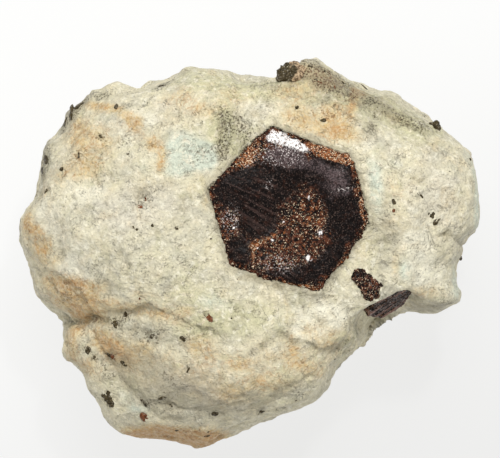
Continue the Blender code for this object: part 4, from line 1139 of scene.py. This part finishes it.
class SPECIMEN_OT_dark_grains(Operator):
    """Make the black crystal at the top edge and the larger grains"""

    bl_idname = "specimen.dark_grains"
    bl_label = "Dark grains"

    def execute(self, context):
        settings = context.scene.specimen_specks
        black = grain_finish("black_mineral", settings.black, settings.black_shine, settings)
        brown = grain_finish("garnet_red", settings.brown, settings.brown_shine, settings)
        for node in ("top_crystal", *GRAIN_NODES):
            grain, places, normals = piece_of_node(node, GRAIN_MESH, 3)
            if node == "top_crystal":
                ragged = places[:, 0] + 0.9 * soft_noise(places, 1.1, 3, 7.0)
                put_attribute(grain, "dust", smooth_step(ragged, *TOP_CRYSTAL_DUST))
            height = 0.20 * chips(places, 0.55, FACET_SHARPNESS)
            height += 0.10 * chips(places, 0.25, FACET_SHARPNESS, 3.0)
            height += 0.22 * soft_noise(places, 0.6, 2)
            finish, slot = (brown, "garnet_red") if node == "red_grain" else (black, "black_mineral")
            round_off(grain, raised(places, normals, height), finish, slot, node)
        return {"FINISHED"}


# --- Specks ---


def placed_on_front(entries, tree):
    """Each speck's place on the stone and its way out of it, found from above, with its sizes and turn."""
    for x, y, *sizes in entries:
        hit, normal = tree.ray_cast(Vector((x * MM, y * MM, 0.1)), Vector((0, 0, -1)))[:2]
        if hit is not None:
            yield hit, normal, *sizes


def strewn_all_round(count, seed, tree):
    """Tiny specks at random places all round the stone, in loose clusters."""
    chance = random.Random(seed)
    middle = (Vector(CAD_BOX[0]) + Vector(CAD_BOX[1])) / 2
    for _ in range(count):
        way = Vector([chance.gauss(0, 1) for _ in range(3)]).normalized()
        hit, normal = tree.ray_cast(middle + way * 0.1, -way)[:2]
        half_length = chance.uniform(*STREWN_HALF_LENGTHS)
        if hit is not None and noise.noise(hit / (CLUSTER_SIZE * MM)) > CLUSTER_START:
            half_width = half_length * chance.uniform(*STREWN_WIDTH_SHARES)
            yield hit, normal, half_length, half_width, chance.uniform(0, 180)


def make_specks(name, entries, finish, slot):
    """Small grains half sunk in the stone, joined in one mesh."""
    specks = []
    for hit, normal, half_length, half_width, turn in entries:
        bpy.ops.object.select_all(action="DESELECT")
        rounds = 2 if half_length > ROUNDER_ABOVE else 1
        bpy.ops.mesh.primitive_ico_sphere_add(subdivisions=rounds, radius=1.0)
        speck = bpy.context.object
        place = Matrix.Translation(hit - normal * SPECK_SINK * half_width * MM)
        lean = normal.to_track_quat("Z", "Y").to_matrix().to_4x4()
        spin = Matrix.Rotation(math.radians(turn), 4, "Z")
        sizes = SPECK_SPREAD * half_length, SPECK_SPREAD * half_width, SPECK_RISE * half_width
        speck.data.transform(place @ lean @ spin @ Matrix.Diagonal((*(size * MM for size in sizes), 1)))
        specks.append(speck)
    piece = joined(specks)
    piece.name = name
    places, normals = places_of(piece)
    put_places(piece, raised(places, normals, SPECK_ROUGHNESS * soft_noise(places, 0.30)))
    hand_over(piece, finish, slot)


class SPECIMEN_OT_specks(Operator):
    """Strew the small dark and brown specks"""

    bl_idname = "specimen.specks"
    bl_label = "Specks"

    def execute(self, context):
        settings = context.scene.specimen_specks
        mesh = bpy.data.objects["pale_stone"].data
        tree = tree_of(mesh, [vertex.co for vertex in mesh.vertices])
        black = [*placed_on_front(BLACK_SPECKS, tree)]
        black += strewn_all_round(settings.scattered, settings.seed, tree)
        black_finish = bpy.data.objects["top_crystal_piece"].active_material
        make_specks("black_specks", black, black_finish, "black_mineral")
        brown_finish = bpy.data.objects["red_grain_piece"].active_material
        make_specks("brown_specks", placed_on_front(BROWN_SPECKS, tree), brown_finish, "garnet_red")
        return {"FINISHED"}


# --- Stage ---


def add_floor(size):
    """A plain pale floor that glows a little more towards one corner."""
    bpy.ops.object.select_all(action="DESELECT")
    bpy.ops.mesh.primitive_plane_add(size=size, location=(0, 0, -FLOOR_DROP))
    floor = bpy.context.object
    floor.name = "floor"
    paper = Finish("floor_paper")
    across = paper.math("MULTIPLY_ADD", paper.coordinate("X"), FLOOR_GLOW_SLOPE, paper.coordinate("Y"))
    paper.set(base_color=(0.10, 0.10, 0.10), roughness=0.9, specular_ior_level=0.0,
              emission_color=(1.0, 1.0, 0.99), emission_strength=paper.spread(across, *FLOOR_GLOW))
    floor.data.materials.append(paper.material)


def add_daylight(strength):
    """Even white light from all round."""
    world = bpy.data.worlds.new("daylight")
    world.use_nodes = True
    background = world.node_tree.nodes["Background"]
    background.inputs["Strength"].default_value = strength
    background.inputs["Color"].default_value = (1.0, 1.0, 1.0, 1)
    bpy.context.scene.world = world


def add_light(name, location, size, power):
    """A round lamp that looks at the stone."""
    bpy.ops.object.light_add(type="AREA", location=location)
    light = bpy.context.object
    light.name = name
    light.data.shape = "DISK"
    light.data.size = size
    light.data.energy = power
    light.rotation_mode = "QUATERNION"
    light.rotation_quaternion = Vector(location).to_track_quat("Z", "Y")


def add_camera(distance, framed_width):
    """A camera that looks straight down on the stone."""
    bpy.ops.object.camera_add(location=(*CAMERA_PLACE, distance))
    camera = bpy.context.object
    camera.name = "camera"
    camera.data.sensor_width = SENSOR_WIDTH
    camera.data.lens = SENSOR_WIDTH * (distance - SHARP_HEIGHT) / framed_width
    camera.data.clip_start = 0.01
    camera.data.clip_end = 20
    bpy.context.scene.camera = camera


class SPECIMEN_OT_stage(Operator):
    """Make the floor, the lights and the camera"""

    bl_idname = "specimen.stage"
    bl_label = "Stage"

    def execute(self, context):
        settings = context.scene.specimen_stage
        add_floor(settings.floor_size)
        add_daylight(settings.daylight)
        add_light("key_light", KEY_LIGHT_PLACE, KEY_LIGHT_SIZE, settings.key_power)
        add_light("sparkle_light", SPARKLE_LIGHT_PLACE, SPARKLE_LIGHT_SIZE, settings.sparkle_power)
        add_camera(settings.camera_distance, settings.framed_width)
        context.scene.view_settings.view_transform = "Standard"
        return {"FINISHED"}


class SPECIMEN_PT_panel(Panel):
    """The specimen's steps in the 3D view's sidebar"""

    bl_idname = "SPECIMEN_PT_panel"
    bl_label = "Ferronigerite Specimen"
    bl_space_type = "VIEW_3D"
    bl_region_type = "UI"
    bl_category = "Specimen"

    def draw(self, context):
        for step in STEPS:
            self.layout.operator(step.bl_idname)


STEPS = (
    SPECIMEN_OT_stone,
    SPECIMEN_OT_hexagon,
    SPECIMEN_OT_small_crystals,
    SPECIMEN_OT_dark_grains,
    SPECIMEN_OT_specks,
    SPECIMEN_OT_stage,
)
SETTINGS = {
    "specimen_stone": StoneSettings,
    "specimen_crystals": CrystalSettings,
    "specimen_specks": SpeckSettings,
    "specimen_stage": StageSettings,
}


def register():
    for group in SETTINGS.values():
        bpy.utils.register_class(group)
    for name, group in SETTINGS.items():
        setattr(bpy.types.Scene, name, PointerProperty(type=group))
    for cls in STEPS + (SPECIMEN_PT_panel,):
        bpy.utils.register_class(cls)


def unregister():
    for cls in reversed(STEPS + (SPECIMEN_PT_panel,)):
        bpy.utils.unregister_class(cls)
    for name, group in SETTINGS.items():
        delattr(bpy.types.Scene, name)
        bpy.utils.unregister_class(group)


def main():
    register()
    bpy.ops.specimen.stone()
    bpy.ops.specimen.hexagon()
    bpy.ops.specimen.small_crystals()
    bpy.ops.specimen.dark_grains()
    bpy.ops.specimen.specks()
    bpy.ops.specimen.stage()


if __name__ == "__main__":
    main()
